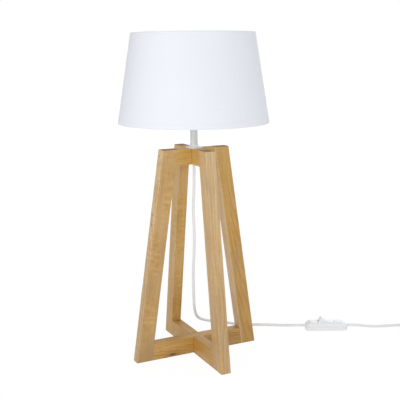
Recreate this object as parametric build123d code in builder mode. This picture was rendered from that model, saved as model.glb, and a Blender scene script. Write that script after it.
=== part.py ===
from build123d import *
import os
from math import cos, pi, radians, sin, sqrt, tan

# Column bedside lamp, in millimetres. The origin is on the table under the middle of the base.
# +Z is up. One timber frame lies along X and the other along Y, and they cross on the Z axis.
os.makedirs("parts", exist_ok=True)

# Timber base
stock = 20.0  # thickness of every leg and rail
leg_width = 30.0  # square to the leg
base_height = 400.0
foot_reach = 127.0  # from the axis to the outer edge of a foot
head_reach = 68.0  # from the axis to the outer edge of a leg's top
bottom_rail_height = 33.0
top_rail_height = 30.0
eased_edge = 1.3
lap_clearance = 0.05
dowel_radius = 3.0
dowel_length = 30.0
dowel_clearance = 0.05
dowel_end_gap = 0.4
dowel_inset = 0.28  # share of a rail's height from its edge to a dowel

# Threaded rod with its nut, washer and cord bush
rod_radius = 5.0
rod_bore_radius = 3.5
rod_hole_clearance = 0.2
thread_clearance = 0.05
counterbore_radius = 9.0
counterbore_depth = 12.0
washer_radius = 8.6
washer_thickness = 1.5
nut_across_flats = 14.0
nut_height = 6.0
rod_past_nut = 2.5
rod_in_holder = 8.0
bush_flange_radius = 5.6
bush_flange_thickness = 1.6
bush_spigot_length = 6.0

# Column tube and the cone at its foot
tube_radius = 7.0
tube_wall = 1.0
tube_length = 52.5
tube_clearance = 0.05
cone_radius = 15.0
cone_rim = 1.2
cone_height = 6.5
cone_floor = 2.5
cone_lip = 2.2  # wall round the tube at the top of the cone

# Lampholder
holder_neck_radius = 9.0
holder_radius = 20.5
holder_wall = 3.0
holder_cap_height = 23.0
holder_neck_height = 2.0
holder_dome_height = 11.0
holder_dome_out = 7.82  # a point on the dome's curve, from the neck's wall
holder_dome_up = 2.7  # and above the neck
holder_ledge = 1.4  # carries the insert's rim
holder_floor_slope = 3.0
insert_depth = 6.0
insert_clearance = 0.2
insert_boss_radius = 15.0
insert_boss_height = 3.0
shoulder_radius = 25.0
shoulder_thickness = 2.0
skirt_radius = 19.8
skirt_wall = 2.2
skirt_height = 32.0
skirt_lip = 2.2
skirt_lip_height = 2.0
skirt_plain = 1.0  # below its first groove
skirt_floor = 3.0
skirt_groove = 0.5
skirt_groove_pitch = 2.0
screw_shell_wall = 0.5
screw_shell_height = 24.0
contact_thickness = 0.5
contact_rise = 5.0
contact_half_length = 5.0
contact_width = 5.0
contact_tongue = 4.0  # reach of its upper leaf on the open side
contact_bend = 2.0  # where the slanting leaf meets the upper one
side_contact_height = 10.0
terminal_size = 5.0
terminal_height = 6.0
terminal_offset = 5.5
core_radius = 1.1
core_spread = 1.35
core_bend = 2.2
cord_past_rod = 1.5

# Shade ring, and the shade's plate and spokes
seat_gap = 0.1
fitter_hole_radius = 21.0
fitter_plate_radius = 30.0
fitter_plate_thickness = 1.5
fitter_rise = 33.1  # from the shade's lower edge up to its fitter plate
spoke_count = 3
spoke_first_angle = 60.0
wire_radius = 1.5
spoke_radius = 1.47
ring_clearance = 0.3
ring_radius = 27.0
ring_flange = 2.2
ring_height = 8.0
ring_rib_count = 24
ring_rib_radius = 0.8

# Shade
shade_bottom_radius = 140.0
shade_top_radius = 112.0
shade_height = 163.0
hem_thickness = 0.5
hem_width = 9.0
hem_fold_lap = 1.0
fabric_thickness = 0.6
liner_thickness = 0.6
layer_gap = 0.1
spoke_slot_clearance = 0.3

# Bulb
bulb_gap = 0.3  # between the bulb's tip and the contact under it
bulb_tip_radius = 4.4
bulb_tip_height = 1.2
bulb_tip_edge = 1.0
bulb_insulator_height = 3.2
bulb_insulator_rim = 0.5  # beyond the tip
bulb_insulator_step = 2.0  # narrower than the thread's root
bulb_cap_radius = 13.1
bulb_cap_height = 20.0
bulb_cap_wall = 0.7
bulb_cap_lap = 1.0  # over the insulator
bulb_cap_cone = 2.0  # from the insulator up to the first thread
bulb_thread_depth = 0.7
bulb_thread_pitch = 3.6
bulb_thread_turns = 4
screw_shell_clearance = 0.4
housing_foot_radius = 14.2
housing_head_radius = 22.3
housing_height = 31.0
housing_swell = 1.5  # wider than the foot a third of the way up
housing_wall = 2.0
housing_spigot = 3.0
globe_radius = 30.0
globe_wall = 1.2
board_thickness = 1.6

# Cord
cord_radius = 2.8
cord_clearance = 0.05
table_gap = 0.1  # between the table and the underside of a cord that lies on it
route_angle = -25.9  # heading of the switch, from +X
arc_share = 0.45  # of a straight run that the arc at its end takes up
switch_lead = 20.0  # straight cord outside each end of the switch

# Cord from the lamp to the switch, from below the bush
exit_run = (0.0, 0.0, 328.0)
lamp_route_points = [
    (-1.5, 4.0, 284.0),
    (2.0, 6.0, 241.0),
    (3.5, 10.5, 199.0),
    (4.0, 17.5, 156.0),
    (8.0, 25.0, 115.0),
    (14.0, 36.0, 72.0),
    (33.0, 60.5, 40.5),
    (70.0, 76.0, 24.0),
    (111.0, 87.0, 9.5),
    (148.0, 73.0, 2.9),
    (186.0, 55.0, 2.9),
    (217.0, 29.0, 4.5),
]
# Cord from the switch to the coil
coil_route_points = [
    (384.0, -61.0, 3.2),
    (420.0, -72.0, 2.9),
]

# Coil of the spare length, and its tie
coil_centre = (462.6, -130.2)
coil_outer_turn = 36.0  # radius of its widest turn
coil_pitch = 6.1
coil_layer_rise = 6.1
coil_half_turns_in = 4
coil_lift = 0.7  # the tie passes under the coil
coil_run_in = 32.0
tie_thickness = 0.6
tie_width = 6.0
tie_gap = 0.3
tie_slack = 1.2  # on the inside of the ring, where the turns curve away
tie_corner = 2.0

# Plug
plug_lead = 42.4
plug_relief_length = 25.0
plug_relief_tip_radius = 3.9
plug_relief_root_radius = 5.2
plug_relief_ribs = 5
plug_rib_groove = 0.8
plug_length = 37.0
plug_wide_from = 15.5  # from the cord's side of the body to its widest part
plug_wide_to = 26.6
plug_half_width = 17.5
plug_face_half_width = 13.5
plug_neck_half_width = 7.0
plug_half_height = 6.8
plug_edge = 2.4
pin_radius = 2.0
pin_length = 19.0
pin_sleeve_length = 10.0  # its sleeve is flush with the bare tip
pin_neck_radius = 1.4
pin_spacing = 19.0
pin_root = 8.0  # length held inside the plug's body
pin_tip_edge = 1.2
pin_clearance = 0.05

# Inline switch
switch_x = 294.1
switch_y = -20.5
switch_length = 88.0
switch_width = 25.0
switch_height = 17.0
switch_split = 8.5  # height of the joint between base and cover
switch_wall = 1.8
switch_top_wall = 2.0
switch_corner = 9.0
switch_nose_length = 11.0  # the cover slopes down to each end over this length
switch_nose_drop = 5.0
switch_nose_ridge = 8.0
switch_top_edge = 3.6
switch_bottom_edge = 1.2
cord_hole_clearance = 0.3
cord_in_switch = 16.5  # how far the cord reaches in through the end wall
rocker_half_length = 14.0
rocker_width = 15.0
rocker_slope = 15.0
rocker_edge = 0.6
rocker_crown = 6.2  # from the pivot up to the middle of the rocker's top
rocker_skirt = 1.5
rocker_nose = 6.0
rocker_nose_half_width = 1.6
rocker_end_gap = 0.3
rocker_side_gap = 0.4
pivot_height = 12.5
pivot_radius = 1.4
pivot_length = 1.9
pivot_clearance = 0.05
cheek_half_length = 3.6
clamp_place = 31.0
clamp_width = 5.0
clamp_thickness = 2.0
clamp_screw_offset = 7.0
clamp_post_radius = 2.6
saddle_gap = 0.05
small_screw_radius = 1.2
small_screw_head_radius = 2.1
small_screw_head = 1.2
small_screw_length = 10.5
screw_clearance = 0.05
block_near = 20.0
block_size = 5.0
block_height = 8.7
block_side_gap = 0.1
block_screw_radius = 1.0
block_screw_head_radius = 1.7
block_screw_depth = 3.0
block_screw_end_gap = 0.2
blade_thickness = 0.5
blade_width = 4.0
blade_height = 2.2
blade_crest_gap = 0.3
blade_crest_half_length = 1.0
blade_end = 3.0  # past the fixed contact's edge
fixed_contact_height = 0.6
fixed_contact_reach = 8.0
link_height = 2.6
housing_screw_place = (37.5, 7.3)
housing_screw_radius = 1.3
housing_screw_head_radius = 2.4
housing_screw_head = 1.8
housing_screw_recess = 0.3
housing_post_radius = 2.8
housing_screw_top = 10.8
housing_screw_end_gap = 0.3


# Worked out from the values above
leg_slope = (foot_reach - head_reach) / base_height
leg_run = leg_width * sqrt(1 + leg_slope**2)
top_rail_low = base_height - top_rail_height
rod_bottom = top_rail_low + counterbore_depth - washer_thickness - nut_height - rod_past_nut
cord_exit = rod_bottom - bush_flange_thickness
tube_low = base_height + cone_floor
holder_low = tube_low + tube_length
rod_top = holder_low + rod_in_holder
cord_top = rod_top + cord_past_rod
insert_top = holder_low + holder_cap_height
insert_low = insert_top - insert_depth
insert_radius = holder_radius - holder_wall - insert_clearance
shoulder_top = insert_top + shoulder_thickness
boss_top = insert_top + insert_boss_height
skirt_top = shoulder_top + skirt_height
plate_low = shoulder_top + seat_gap
plate_top = plate_low + fitter_plate_thickness
ring_low = plate_top + seat_gap
ring_bore = skirt_radius + ring_clearance
shade_low = plate_low - fitter_rise
shade_high = shade_low + shade_height
contact_top = boss_top + contact_rise
bulb_low = contact_top + bulb_gap
insulator_low = bulb_low + bulb_tip_height
bulb_cap_low = insulator_low + bulb_insulator_height
housing_low = bulb_cap_low + bulb_cap_height
housing_high = housing_low + housing_height
screw_shell_bore = bulb_cap_radius + screw_shell_clearance
table_line = cord_radius + table_gap
coil_low = table_line + coil_lift
coil_high = coil_low + coil_layer_rise
rocker_end_height = rocker_crown + rocker_half_length * tan(radians(rocker_slope))
rocker_swing = sqrt(rocker_half_length**2 + rocker_end_height**2)
well_half_length = rocker_swing + rocker_end_gap
well_half_width = rocker_width / 2 + rocker_side_gap


def finish(builder, name):
    """Labels a finished piece and writes it."""
    builder.part.label = name
    export_step(builder.part, f"parts/{name}.step")


def turned(outline):
    """A piece turned about Z from a closed outline of (radius, height) points."""
    with BuildPart() as piece:
        with BuildSketch(Plane.XZ):
            with BuildLine():
                Polyline(*outline, close=True)
            make_face()
        revolve(axis=Axis.Z)
    return piece


def sleeve(outer, inner, low, high):
    """A plain tube about Z."""
    return turned([(inner, low), (outer, low), (outer, high), (inner, high)])


# Timber base: each frame is shaped whole, so that its eased edges run through, and then cut at
# the joints between its legs and rails
def inner_edge(height):
    """From the axis to a leg's inner edge."""
    return foot_reach - leg_run - leg_slope * height


def frame_blank(plane):
    window_low = bottom_rail_height
    window_high = top_rail_low
    with BuildPart() as blank:
        with BuildSketch(plane):
            with BuildLine():
                Polyline(
                    (-foot_reach, 0),
                    (foot_reach, 0),
                    (head_reach, base_height),
                    (-head_reach, base_height),
                    close=True,
                )
            make_face()
            with BuildLine():
                Polyline(
                    (-inner_edge(window_low), window_low),
                    (inner_edge(window_low), window_low),
                    (inner_edge(window_high), window_high),
                    (-inner_edge(window_high), window_high),
                    close=True,
                )
            make_face(mode=Mode.SUBTRACT)
        extrude(amount=stock / 2, both=True)
        sides = blank.faces().filter_by(Axis((0, 0, 0), plane.z_dir))
        fillet(sides.edges(), eased_edge)
    return blank.part


def joint_plane(plane, side):
    """The butt joint between a leg and its rails, facing outwards."""
    outward = plane.x_dir * side + Vector(0, 0, leg_slope)
    return Plane(origin=plane.x_dir * (side * inner_edge(0)), z_dir=outward)


def dowel_places(plane):
    places = []
    rails = [(0, bottom_rail_height), (top_rail_low, top_rail_height)]
    for low, height in rails:
        for share in (dowel_inset, 1 - dowel_inset):
            level = low + share * height
            for side in (-1, 1):
                middle = plane.x_dir * (side * inner_edge(level)) + Vector(0, 0, level)
                places.append(Plane(origin=middle, z_dir=plane.x_dir))
    return places


def drill_dowel_holes(plane):
    """Cuts a frame's dowel holes from the piece that is being made."""
    hole_length = dowel_length + 2 * dowel_end_gap
    with Locations(*dowel_places(plane)):
        Cylinder(dowel_radius + dowel_clearance, hole_length, mode=Mode.SUBTRACT)


def make_leg(blank, plane, side):
    with BuildPart() as leg:
        add(blank)
        split(bisect_by=joint_plane(plane, side), keep=Keep.TOP)
        drill_dowel_holes(plane)
    return leg


def make_rail(blank, plane, is_top, notch_from_below):
    low = top_rail_low if is_top else 0
    height = top_rail_height if is_top else bottom_rail_height
    lap = low + height / 2
    notch_low = low - 1 if notch_from_below else lap
    notch_high = lap if notch_from_below else low + height + 1
    across = plane.z_dir
    notch_width = stock + 2 * lap_clearance
    with BuildPart() as rail:
        add(blank)
        split(bisect_by=joint_plane(plane, 1), keep=Keep.BOTTOM)
        split(bisect_by=joint_plane(plane, -1), keep=Keep.BOTTOM)
        split(
            bisect_by=Plane.XY.offset(base_height / 2),
            keep=Keep.TOP if is_top else Keep.BOTTOM,
        )
        with Locations((0, 0, (notch_low + notch_high) / 2)):
            Box(notch_width, notch_width, notch_high - notch_low, mode=Mode.SUBTRACT)
        drill_dowel_holes(plane)
        if is_top:
            with Locations((0, 0, lap)):
                Cylinder(
                    rod_radius + rod_hole_clearance, height + 2, mode=Mode.SUBTRACT
                )
        if is_top and not notch_from_below:
            with Locations((0, 0, low + counterbore_depth / 2)):
                Cylinder(counterbore_radius, counterbore_depth, mode=Mode.SUBTRACT)
    return rail


frame_x = Plane.XZ
frame_y = Plane.YZ
blank_x = frame_blank(frame_x)
blank_y = frame_blank(frame_y)

for name, blank, plane, side in (
    ("leg_left", blank_x, frame_x, -1),
    ("leg_right", blank_x, frame_x, 1),
    ("leg_front", blank_y, frame_y, -1),
    ("leg_rear", blank_y, frame_y, 1),
):
    finish(make_leg(blank, plane, side), name)

for name, blank, plane, is_top, notch_from_below in (
    ("bottom_rail_x", blank_x, frame_x, False, True),
    ("top_rail_x", blank_x, frame_x, True, True),
    ("bottom_rail_y", blank_y, frame_y, False, False),
    ("top_rail_y", blank_y, frame_y, True, False),
):
    finish(make_rail(blank, plane, is_top, notch_from_below), name)

with BuildPart() as rail_dowels:
    with Locations(*dowel_places(frame_x), *dowel_places(frame_y)):
        Cylinder(dowel_radius, dowel_length)
finish(rail_dowels, "rail_dowels")


# Threaded rod, washer, nut and cord bush
finish(sleeve(rod_radius, rod_bore_radius, rod_bottom, rod_top), "threaded_rod")

washer_top = top_rail_low + counterbore_depth
washer_low = washer_top - washer_thickness
finish(
    sleeve(washer_radius, rod_radius + rod_hole_clearance, washer_low, washer_top),
    "rod_washer",
)

with BuildPart() as rod_nut:
    with BuildSketch(Plane.XY.offset(washer_low - nut_height)):
        RegularPolygon(nut_across_flats / 2, 6, major_radius=False)
        Circle(rod_radius + thread_clearance, mode=Mode.SUBTRACT)
    extrude(amount=nut_height)
finish(rod_nut, "rod_nut")

bush_bore = cord_radius + cord_clearance
spigot_radius = rod_bore_radius - thread_clearance
finish(
    turned(
        [
            (bush_bore, cord_exit),
            (bush_flange_radius, cord_exit),
            (bush_flange_radius, rod_bottom),
            (spigot_radius, rod_bottom),
            (spigot_radius, rod_bottom + bush_spigot_length),
            (bush_bore, rod_bottom + bush_spigot_length),
        ]
    ),
    "cord_bush",
)


# Column tube and cone
tube_seat_radius = tube_radius + tube_clearance
finish(
    turned(
        [
            (rod_radius + rod_hole_clearance, base_height),
            (cone_radius, base_height),
            (cone_radius, base_height + cone_rim),
            (tube_radius + cone_lip, base_height + cone_height),
            (tube_seat_radius, base_height + cone_height),
            (tube_seat_radius, tube_low),
            (rod_radius + rod_hole_clearance, tube_low),
        ]
    ),
    "flange_cap",
)
finish(sleeve(tube_radius, tube_radius - tube_wall, tube_low, holder_low), "column_tube")


# Lampholder
def make_holder_cap():
    cavity = holder_radius - holder_wall
    ledge = cavity - 2 * insert_clearance - holder_ledge
    neck_top = holder_low + holder_neck_height
    with BuildPart() as cap:
        with BuildSketch(Plane.XZ):
            with BuildLine():
                Line((rod_radius + thread_clearance, holder_low), (holder_neck_radius, holder_low))
                Line((holder_neck_radius, holder_low), (holder_neck_radius, neck_top))
                ThreePointArc(
                    (holder_neck_radius, neck_top),
                    (holder_neck_radius + holder_dome_out, neck_top + holder_dome_up),
                    (holder_radius, holder_low + holder_dome_height),
                )
                Polyline(
                    (holder_radius, holder_low + holder_dome_height),
                    (holder_radius, insert_top),
                    (cavity, insert_top),
                    (cavity, insert_low),
                    (ledge, insert_low),
                    (ledge, holder_low + holder_dome_height),
                    (ledge - holder_floor_slope, rod_top),
                    (rod_radius + thread_clearance, rod_top),
                    (rod_radius + thread_clearance, holder_low),
                )
            make_face()
        revolve(axis=Axis.Z)
    return cap


finish(make_holder_cap(), "holder_cap")

finish(
    turned(
        [
            (0, insert_low),
            (insert_radius, insert_low),
            (insert_radius, insert_top),
            (insert_boss_radius, insert_top),
            (insert_boss_radius, boss_top),
            (0, boss_top),
        ]
    ),
    "holder_insert",
)


def make_holder_skirt():
    """The threaded skirt: its shoulder carries the shade, and it clamps the insert."""
    bore = skirt_radius - skirt_wall
    ledge = insert_boss_radius + insert_clearance
    outline = [
        (ledge, insert_top),
        (shoulder_radius, insert_top),
        (shoulder_radius, shoulder_top),
        (skirt_radius - skirt_groove, shoulder_top),
    ]
    turns = int((skirt_height - 2 * skirt_plain) / skirt_groove_pitch)
    for turn in range(turns):
        level = shoulder_top + skirt_plain + turn * skirt_groove_pitch
        outline.append((skirt_radius - skirt_groove, level))
        outline.append((skirt_radius, level + skirt_groove_pitch / 2))
    outline += [
        (skirt_radius - skirt_groove, skirt_top),
        (bore - skirt_lip, skirt_top),
        (bore - skirt_lip, skirt_top - skirt_lip_height),
        (bore, skirt_top - skirt_lip_height),
        (bore, insert_top + skirt_floor),
        (ledge, insert_top + skirt_floor),
    ]
    return turned(outline)


finish(make_holder_skirt(), "holder_skirt")

screw_shell_radius = screw_shell_bore + screw_shell_wall
finish(
    sleeve(screw_shell_radius, screw_shell_bore, boss_top, boss_top + screw_shell_height),
    "screw_shell",
)

with BuildPart() as centre_contact:
    with BuildSketch(Plane.XZ):
        with BuildLine():
            Polyline(
                (-contact_half_length, boss_top),
                (contact_half_length, boss_top),
                (contact_half_length, boss_top + contact_thickness),
                (-contact_half_length + 2 * contact_thickness, boss_top + contact_thickness),
                (contact_tongue, contact_top - contact_thickness),
                (contact_tongue, contact_top),
                (-contact_half_length + contact_thickness, contact_top),
                (-contact_half_length + contact_thickness, contact_top - contact_thickness),
                (contact_bend, contact_top - contact_thickness),
                (-contact_half_length, boss_top + 2 * contact_thickness),
                close=True,
            )
        make_face()
    extrude(amount=contact_width / 2, both=True)
finish(centre_contact, "centre_contact")

side_contact_near = screw_shell_radius + insert_clearance
with BuildPart() as side_contact:
    with Locations((side_contact_near + contact_thickness / 2, 0, boss_top)):
        Box(
            contact_thickness,
            contact_width,
            side_contact_height,
            align=(Align.CENTER, Align.CENTER, Align.MIN),
        )
finish(side_contact, "side_contact")

terminal_low = insert_low - terminal_height
with BuildPart() as holder_terminals:
    for side in (-1, 1):
        with Locations((side * (terminal_offset + terminal_size / 2), 0, terminal_low)):
            Box(
                terminal_size,
                terminal_size,
                terminal_height,
                align=(Align.CENTER, Align.CENTER, Align.MIN),
            )
finish(holder_terminals, "holder_terminals")

with BuildPart() as column_cord:
    with Locations((0, 0, cord_exit)):
        Cylinder(
            cord_radius, cord_top - cord_exit, align=(Align.CENTER, Align.CENTER, Align.MIN)
        )
finish(column_cord, "column_cord")


def sweep_round(path, radius):
    """A round rod of the given radius along a line that is already drawn."""
    with BuildPart() as tube:
        with BuildSketch(Plane(origin=path @ 0, z_dir=path % 0)):
            Circle(radius)
        sweep(path=path)
    return tube


def holder_core(side):
    lead_level = terminal_low + terminal_height / 2
    with BuildLine() as line:
        FilletPolyline(
            (side * core_spread, 0, cord_top),
            (side * core_spread, 0, lead_level),
            (side * terminal_offset, 0, lead_level),
            radius=core_bend,
        )
    return sweep_round(line.wire(), core_radius).part


with BuildPart() as holder_leads:
    add(holder_core(-1))
    add(holder_core(1))
finish(holder_leads, "holder_leads")


# Shade ring, which screws down on the skirt and holds the fitter plate
def make_shade_ring():
    with BuildPart() as ring:
        with BuildSketch(Plane.XY.offset(ring_low)):
            Circle(ring_radius)
            Circle(ring_bore, mode=Mode.SUBTRACT)
        extrude(amount=ring_flange)
        with BuildSketch(Plane.XY.offset(ring_low + ring_flange)):
            Circle(ring_radius - 2 * ring_rib_radius)
            with PolarLocations(ring_radius - 2 * ring_rib_radius, ring_rib_count):
                Circle(ring_rib_radius)
            Circle(ring_bore, mode=Mode.SUBTRACT)
        extrude(amount=ring_height - ring_flange)
    return ring


finish(make_shade_ring(), "shade_ring")


# Shade: from outside to inside it has a hem, the fabric, a stiff liner and the wire rings
fabric_offset = hem_thickness + layer_gap
liner_offset = fabric_offset + fabric_thickness + layer_gap
liner_inside = liner_offset + liner_thickness
wire_offset = liner_inside + 2 * layer_gap + wire_radius
hem_inside = wire_offset + wire_radius + layer_gap
wire_level = fabric_offset + wire_radius + layer_gap


def shade_radius(level):
    share = (level - shade_low) / shade_height
    return shade_bottom_radius + (shade_top_radius - shade_bottom_radius) * share


def near_edge(edge, inwards, offset, height):
    """A point that far in from the shade's outside and that far from its lower or upper edge."""
    level = edge + inwards * height
    return (shade_radius(level) - offset, level)


def shade_skin(offset, thickness):
    ends = [
        near_edge(shade_low, 1, offset, fabric_offset),
        near_edge(shade_high, -1, offset, fabric_offset),
    ]
    inner = [(radius - thickness, level) for radius, level in ends]
    return turned([ends[0], ends[1], inner[1], inner[0]])


def hem(edge, inwards):
    """Cloth folded round the wire ring and the edges of the fabric and the liner."""
    above_wire = wire_level + wire_radius + layer_gap
    meets_liner = above_wire + 2 * wire_radius - hem_fold_lap
    places = [
        (0, 0),
        (0, hem_width),
        (hem_thickness, hem_width),
        (hem_thickness, hem_thickness),
        (hem_inside, hem_thickness),
        (hem_inside, above_wire),
        (liner_inside + layer_gap, meets_liner),
        (liner_inside + layer_gap, hem_width),
        (liner_inside + layer_gap + hem_thickness, hem_width),
        (liner_inside + layer_gap + hem_thickness, meets_liner + hem_thickness / 2),
        (hem_inside + hem_thickness, above_wire + hem_thickness / 2),
        (hem_inside + hem_thickness, 0),
    ]
    return turned([near_edge(edge, inwards, offset, height) for offset, height in places])


finish(shade_skin(fabric_offset, fabric_thickness), "shade_fabric")
finish(shade_skin(liner_offset, liner_thickness), "shade_liner")
finish(hem(shade_high, -1), "top_hem")

bottom_wire = near_edge(shade_low, 1, wire_offset, wire_level)
top_wire = near_edge(shade_high, -1, wire_offset, wire_level)


def wire_ring(centre):
    with BuildPart() as ring:
        with BuildSketch(Plane.XZ):
            with Locations(centre):
                Circle(wire_radius)
        revolve(axis=Axis.Z)
    return ring


lower_ring = wire_ring(bottom_wire)
finish(lower_ring, "bottom_wire_ring")
finish(wire_ring(top_wire), "top_wire_ring")

with BuildPart() as fitter_plate:
    with BuildSketch(Plane.XY.offset(plate_low)):
        Circle(fitter_plate_radius)
        Circle(fitter_hole_radius, mode=Mode.SUBTRACT)
    extrude(amount=fitter_plate_thickness)
finish(fitter_plate, "fitter_plate")

plate_middle = (plate_low + plate_top) / 2
spoke_inner_radius = fitter_plate_radius - wire_radius


def spoke_plane(number):
    """The plane square to a spoke at its outer end."""
    angle = radians(spoke_first_angle + number * 360 / spoke_count)
    outer = Vector(bottom_wire[0] * cos(angle), bottom_wire[0] * sin(angle), bottom_wire[1])
    inner = Vector(
        spoke_inner_radius * cos(angle), spoke_inner_radius * sin(angle), plate_middle
    )
    return Plane(origin=outer, z_dir=inner - outer), (inner - outer).length


# Each spoke is welded to the lower wire and slotted over the plate's rim
with BuildPart() as shade_spokes:
    for number in range(spoke_count):
        place, length = spoke_plane(number)
        with BuildSketch(place):
            Circle(spoke_radius)
        extrude(amount=length)
    add(lower_ring.part, mode=Mode.SUBTRACT)
    add(fitter_plate.part, mode=Mode.SUBTRACT)
finish(shade_spokes, "shade_spokes")

lower_hem = hem(shade_low, 1)
with BuildPart() as bottom_hem:
    add(lower_hem.part)
    for number in range(spoke_count):
        place, length = spoke_plane(number)
        with BuildSketch(place):
            Circle(wire_radius + spoke_slot_clearance)
        extrude(amount=length / 4, mode=Mode.SUBTRACT)
finish(bottom_hem, "bottom_hem")


# Bulb
finish(
    turned(
        [
            (0, bulb_low),
            (bulb_tip_radius - bulb_tip_edge, bulb_low),
            (bulb_tip_radius, bulb_low + bulb_tip_height / 2),
            (bulb_tip_radius, insulator_low),
            (0, insulator_low),
        ]
    ),
    "bulb_tip",
)
insulator_top_radius = bulb_cap_radius - bulb_thread_depth - bulb_insulator_step
finish(
    turned(
        [
            (0, insulator_low),
            (bulb_tip_radius + bulb_insulator_rim, insulator_low),
            (insulator_top_radius, bulb_cap_low),
            (0, bulb_cap_low),
        ]
    ),
    "bulb_insulator",
)


def make_bulb_cap():
    root = bulb_cap_radius - bulb_thread_depth
    bore = root - bulb_cap_wall
    thread_low = bulb_cap_low + bulb_cap_cone
    lap_radius = insulator_top_radius - bulb_cap_lap
    outline = [(lap_radius, bulb_cap_low), (insulator_top_radius, bulb_cap_low)]
    for turn in range(bulb_thread_turns):
        level = thread_low + turn * bulb_thread_pitch
        outline.append((root, level))
        outline.append((bulb_cap_radius, level + bulb_thread_pitch / 3))
        outline.append((bulb_cap_radius, level + bulb_thread_pitch / 2))
    outline += [
        (root, thread_low + bulb_thread_turns * bulb_thread_pitch),
        (root, housing_low),
        (bore, housing_low),
        (bore, thread_low),
        (lap_radius, bulb_cap_low + bulb_cap_wall),
    ]
    return turned(outline)


finish(make_bulb_cap(), "bulb_cap")

globe_middle = housing_high + sqrt(globe_radius**2 - housing_head_radius**2)
seat_radius = housing_head_radius - housing_wall - layer_gap
board_radius = seat_radius - housing_wall - board_thickness


def make_bulb_housing():
    """A plastic cup between the cap and the globe. The board lies on its closed top."""
    spigot_radius = bulb_cap_radius - bulb_thread_depth - bulb_cap_wall - layer_gap
    outline = [
        (0, housing_low - housing_spigot),
        (spigot_radius, housing_low - housing_spigot),
        (spigot_radius, housing_low),
        (housing_foot_radius, housing_low),
        (housing_foot_radius + housing_swell, housing_low + housing_height / 3),
        (housing_head_radius, housing_high),
        (seat_radius, housing_high),
        (seat_radius - housing_wall, housing_high - housing_wall),
        (0, housing_high - housing_wall),
    ]
    return turned(outline)


finish(make_bulb_housing(), "bulb_housing")

board_low = housing_high - housing_wall
finish(
    turned(
        [
            (0, board_low),
            (board_radius, board_low),
            (board_radius, board_low + board_thickness),
            (0, board_low + board_thickness),
        ]
    ),
    "led_board",
)

with BuildPart() as bulb_globe:
    with BuildSketch(Plane.XZ):
        with BuildLine():
            CenterArc((0, globe_middle), globe_radius, -90, 180)
            Line((0, globe_middle - globe_radius), (0, globe_middle + globe_radius))
        make_face()
        with BuildLine():
            CenterArc((0, globe_middle), globe_radius - globe_wall, -90, 180)
            Line(
                (0, globe_middle - globe_radius + globe_wall),
                (0, globe_middle + globe_radius - globe_wall),
            )
        make_face(mode=Mode.SUBTRACT)
    revolve(axis=Axis.Z)
    split(bisect_by=Plane.XY.offset(housing_high), keep=Keep.TOP)
finish(bulb_globe, "bulb_globe")


# Cord
heading = Vector(cos(radians(route_angle)), sin(radians(route_angle)), 0)
back = Vector(-heading.Y, heading.X, 0)
switch_origin = Vector(switch_x, switch_y, 0)
cord_reach_in_switch = switch_length / 2 - cord_in_switch
print("cord facts, mm")


def in_switch(along, across, up):
    """A place in the switch's own directions."""
    return switch_origin + heading * along + back * across + Vector(0, 0, up)


def route_radii(points):
    """The arc at each corner uses up the same share of the shorter run beside it."""
    radii = []
    for before, corner, after in zip(points, points[1:], points[2:]):
        arriving = corner - before
        leaving = after - corner
        half_turn = radians(arriving.get_angle(leaving)) / 2
        radii.append(arc_share * min(arriving.length, leaving.length) / tan(half_turn))
    return radii


def free_cord(name, places):
    """A cord's tube along straight runs joined by arcs."""
    points = [Vector(*place) for place in places]
    radii = route_radii(points)
    with BuildLine() as line:
        FilletPolyline(*points, radius=radii)
    tube = sweep_round(line.wire(), cord_radius)
    length = line.wire().length
    share = tube.part.volume / (pi * cord_radius**2 * length)
    runs = [(b - a).length for a, b in zip(points, points[1:])]
    print(name, "length", round(length, 1))
    print("  volume over section times length", round(share, 5))
    print("  runs", [round(run, 1) for run in runs])
    print("  radii", [round(radius, 1) for radius in radii])
    finish(tube, name)


coil_middle = Vector(*coil_centre, 0)


def in_coil(along, across, up):
    """A place in the coil's directions: along the heading, towards the back, and up."""
    return coil_middle + heading * along + back * across + Vector(0, 0, up)


switch_line = switch_split
free_cord(
    "cord_to_switch",
    [(0, 0, cord_exit), exit_run, *lamp_route_points]
    + [in_switch(-switch_length / 2 - switch_lead, 0, switch_line)]
    + [in_switch(-cord_reach_in_switch, 0, switch_line)],
)
coil_start = in_coil(-2 * cord_radius, coil_outer_turn, coil_low)
free_cord(
    "cord_from_switch",
    [in_switch(cord_reach_in_switch, 0, switch_line)]
    + [in_switch(switch_length / 2 + switch_lead, 0, switch_line)]
    + coil_route_points
    + [in_coil(-coil_run_in, coil_outer_turn, coil_low), coil_start],
)


# Coil: half turns that tighten on the lower layer, one that climbs, and half turns that widen
# again on the upper layer
def coil_arcs():
    """Each arc of the coil as (start, middle, end)."""
    arcs = []
    radius = coil_outer_turn
    across = coil_outer_turn
    side = 1
    for number in range(coil_half_turns_in):
        middle = across - side * radius
        arcs.append(
            (
                in_coil(0, across, coil_low),
                in_coil(side * radius, middle, coil_low),
                in_coil(0, middle - side * radius, coil_low),
            )
        )
        across = middle - side * radius
        side = -side
        radius -= coil_pitch / 2
    arcs += climbing_arcs(across, side, radius)
    across -= 2 * side * radius
    for number in range(coil_half_turns_in - 1):
        side = -side
        radius += coil_pitch / 2
        middle = across - side * radius
        arcs.append(
            (
                in_coil(0, across, coil_high),
                in_coil(side * radius, middle, coil_high),
                in_coil(0, middle - side * radius, coil_high),
            )
        )
        across = middle - side * radius
    side = -side
    radius += coil_pitch / 2
    quarter = radians(45)
    middle = across - side * radius
    arcs.append(
        (
            in_coil(0, across, coil_high),
            in_coil(side * radius * sin(quarter), middle + side * radius * cos(quarter), coil_high),
            in_coil(side * radius, middle, coil_high),
        )
    )
    return arcs


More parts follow.
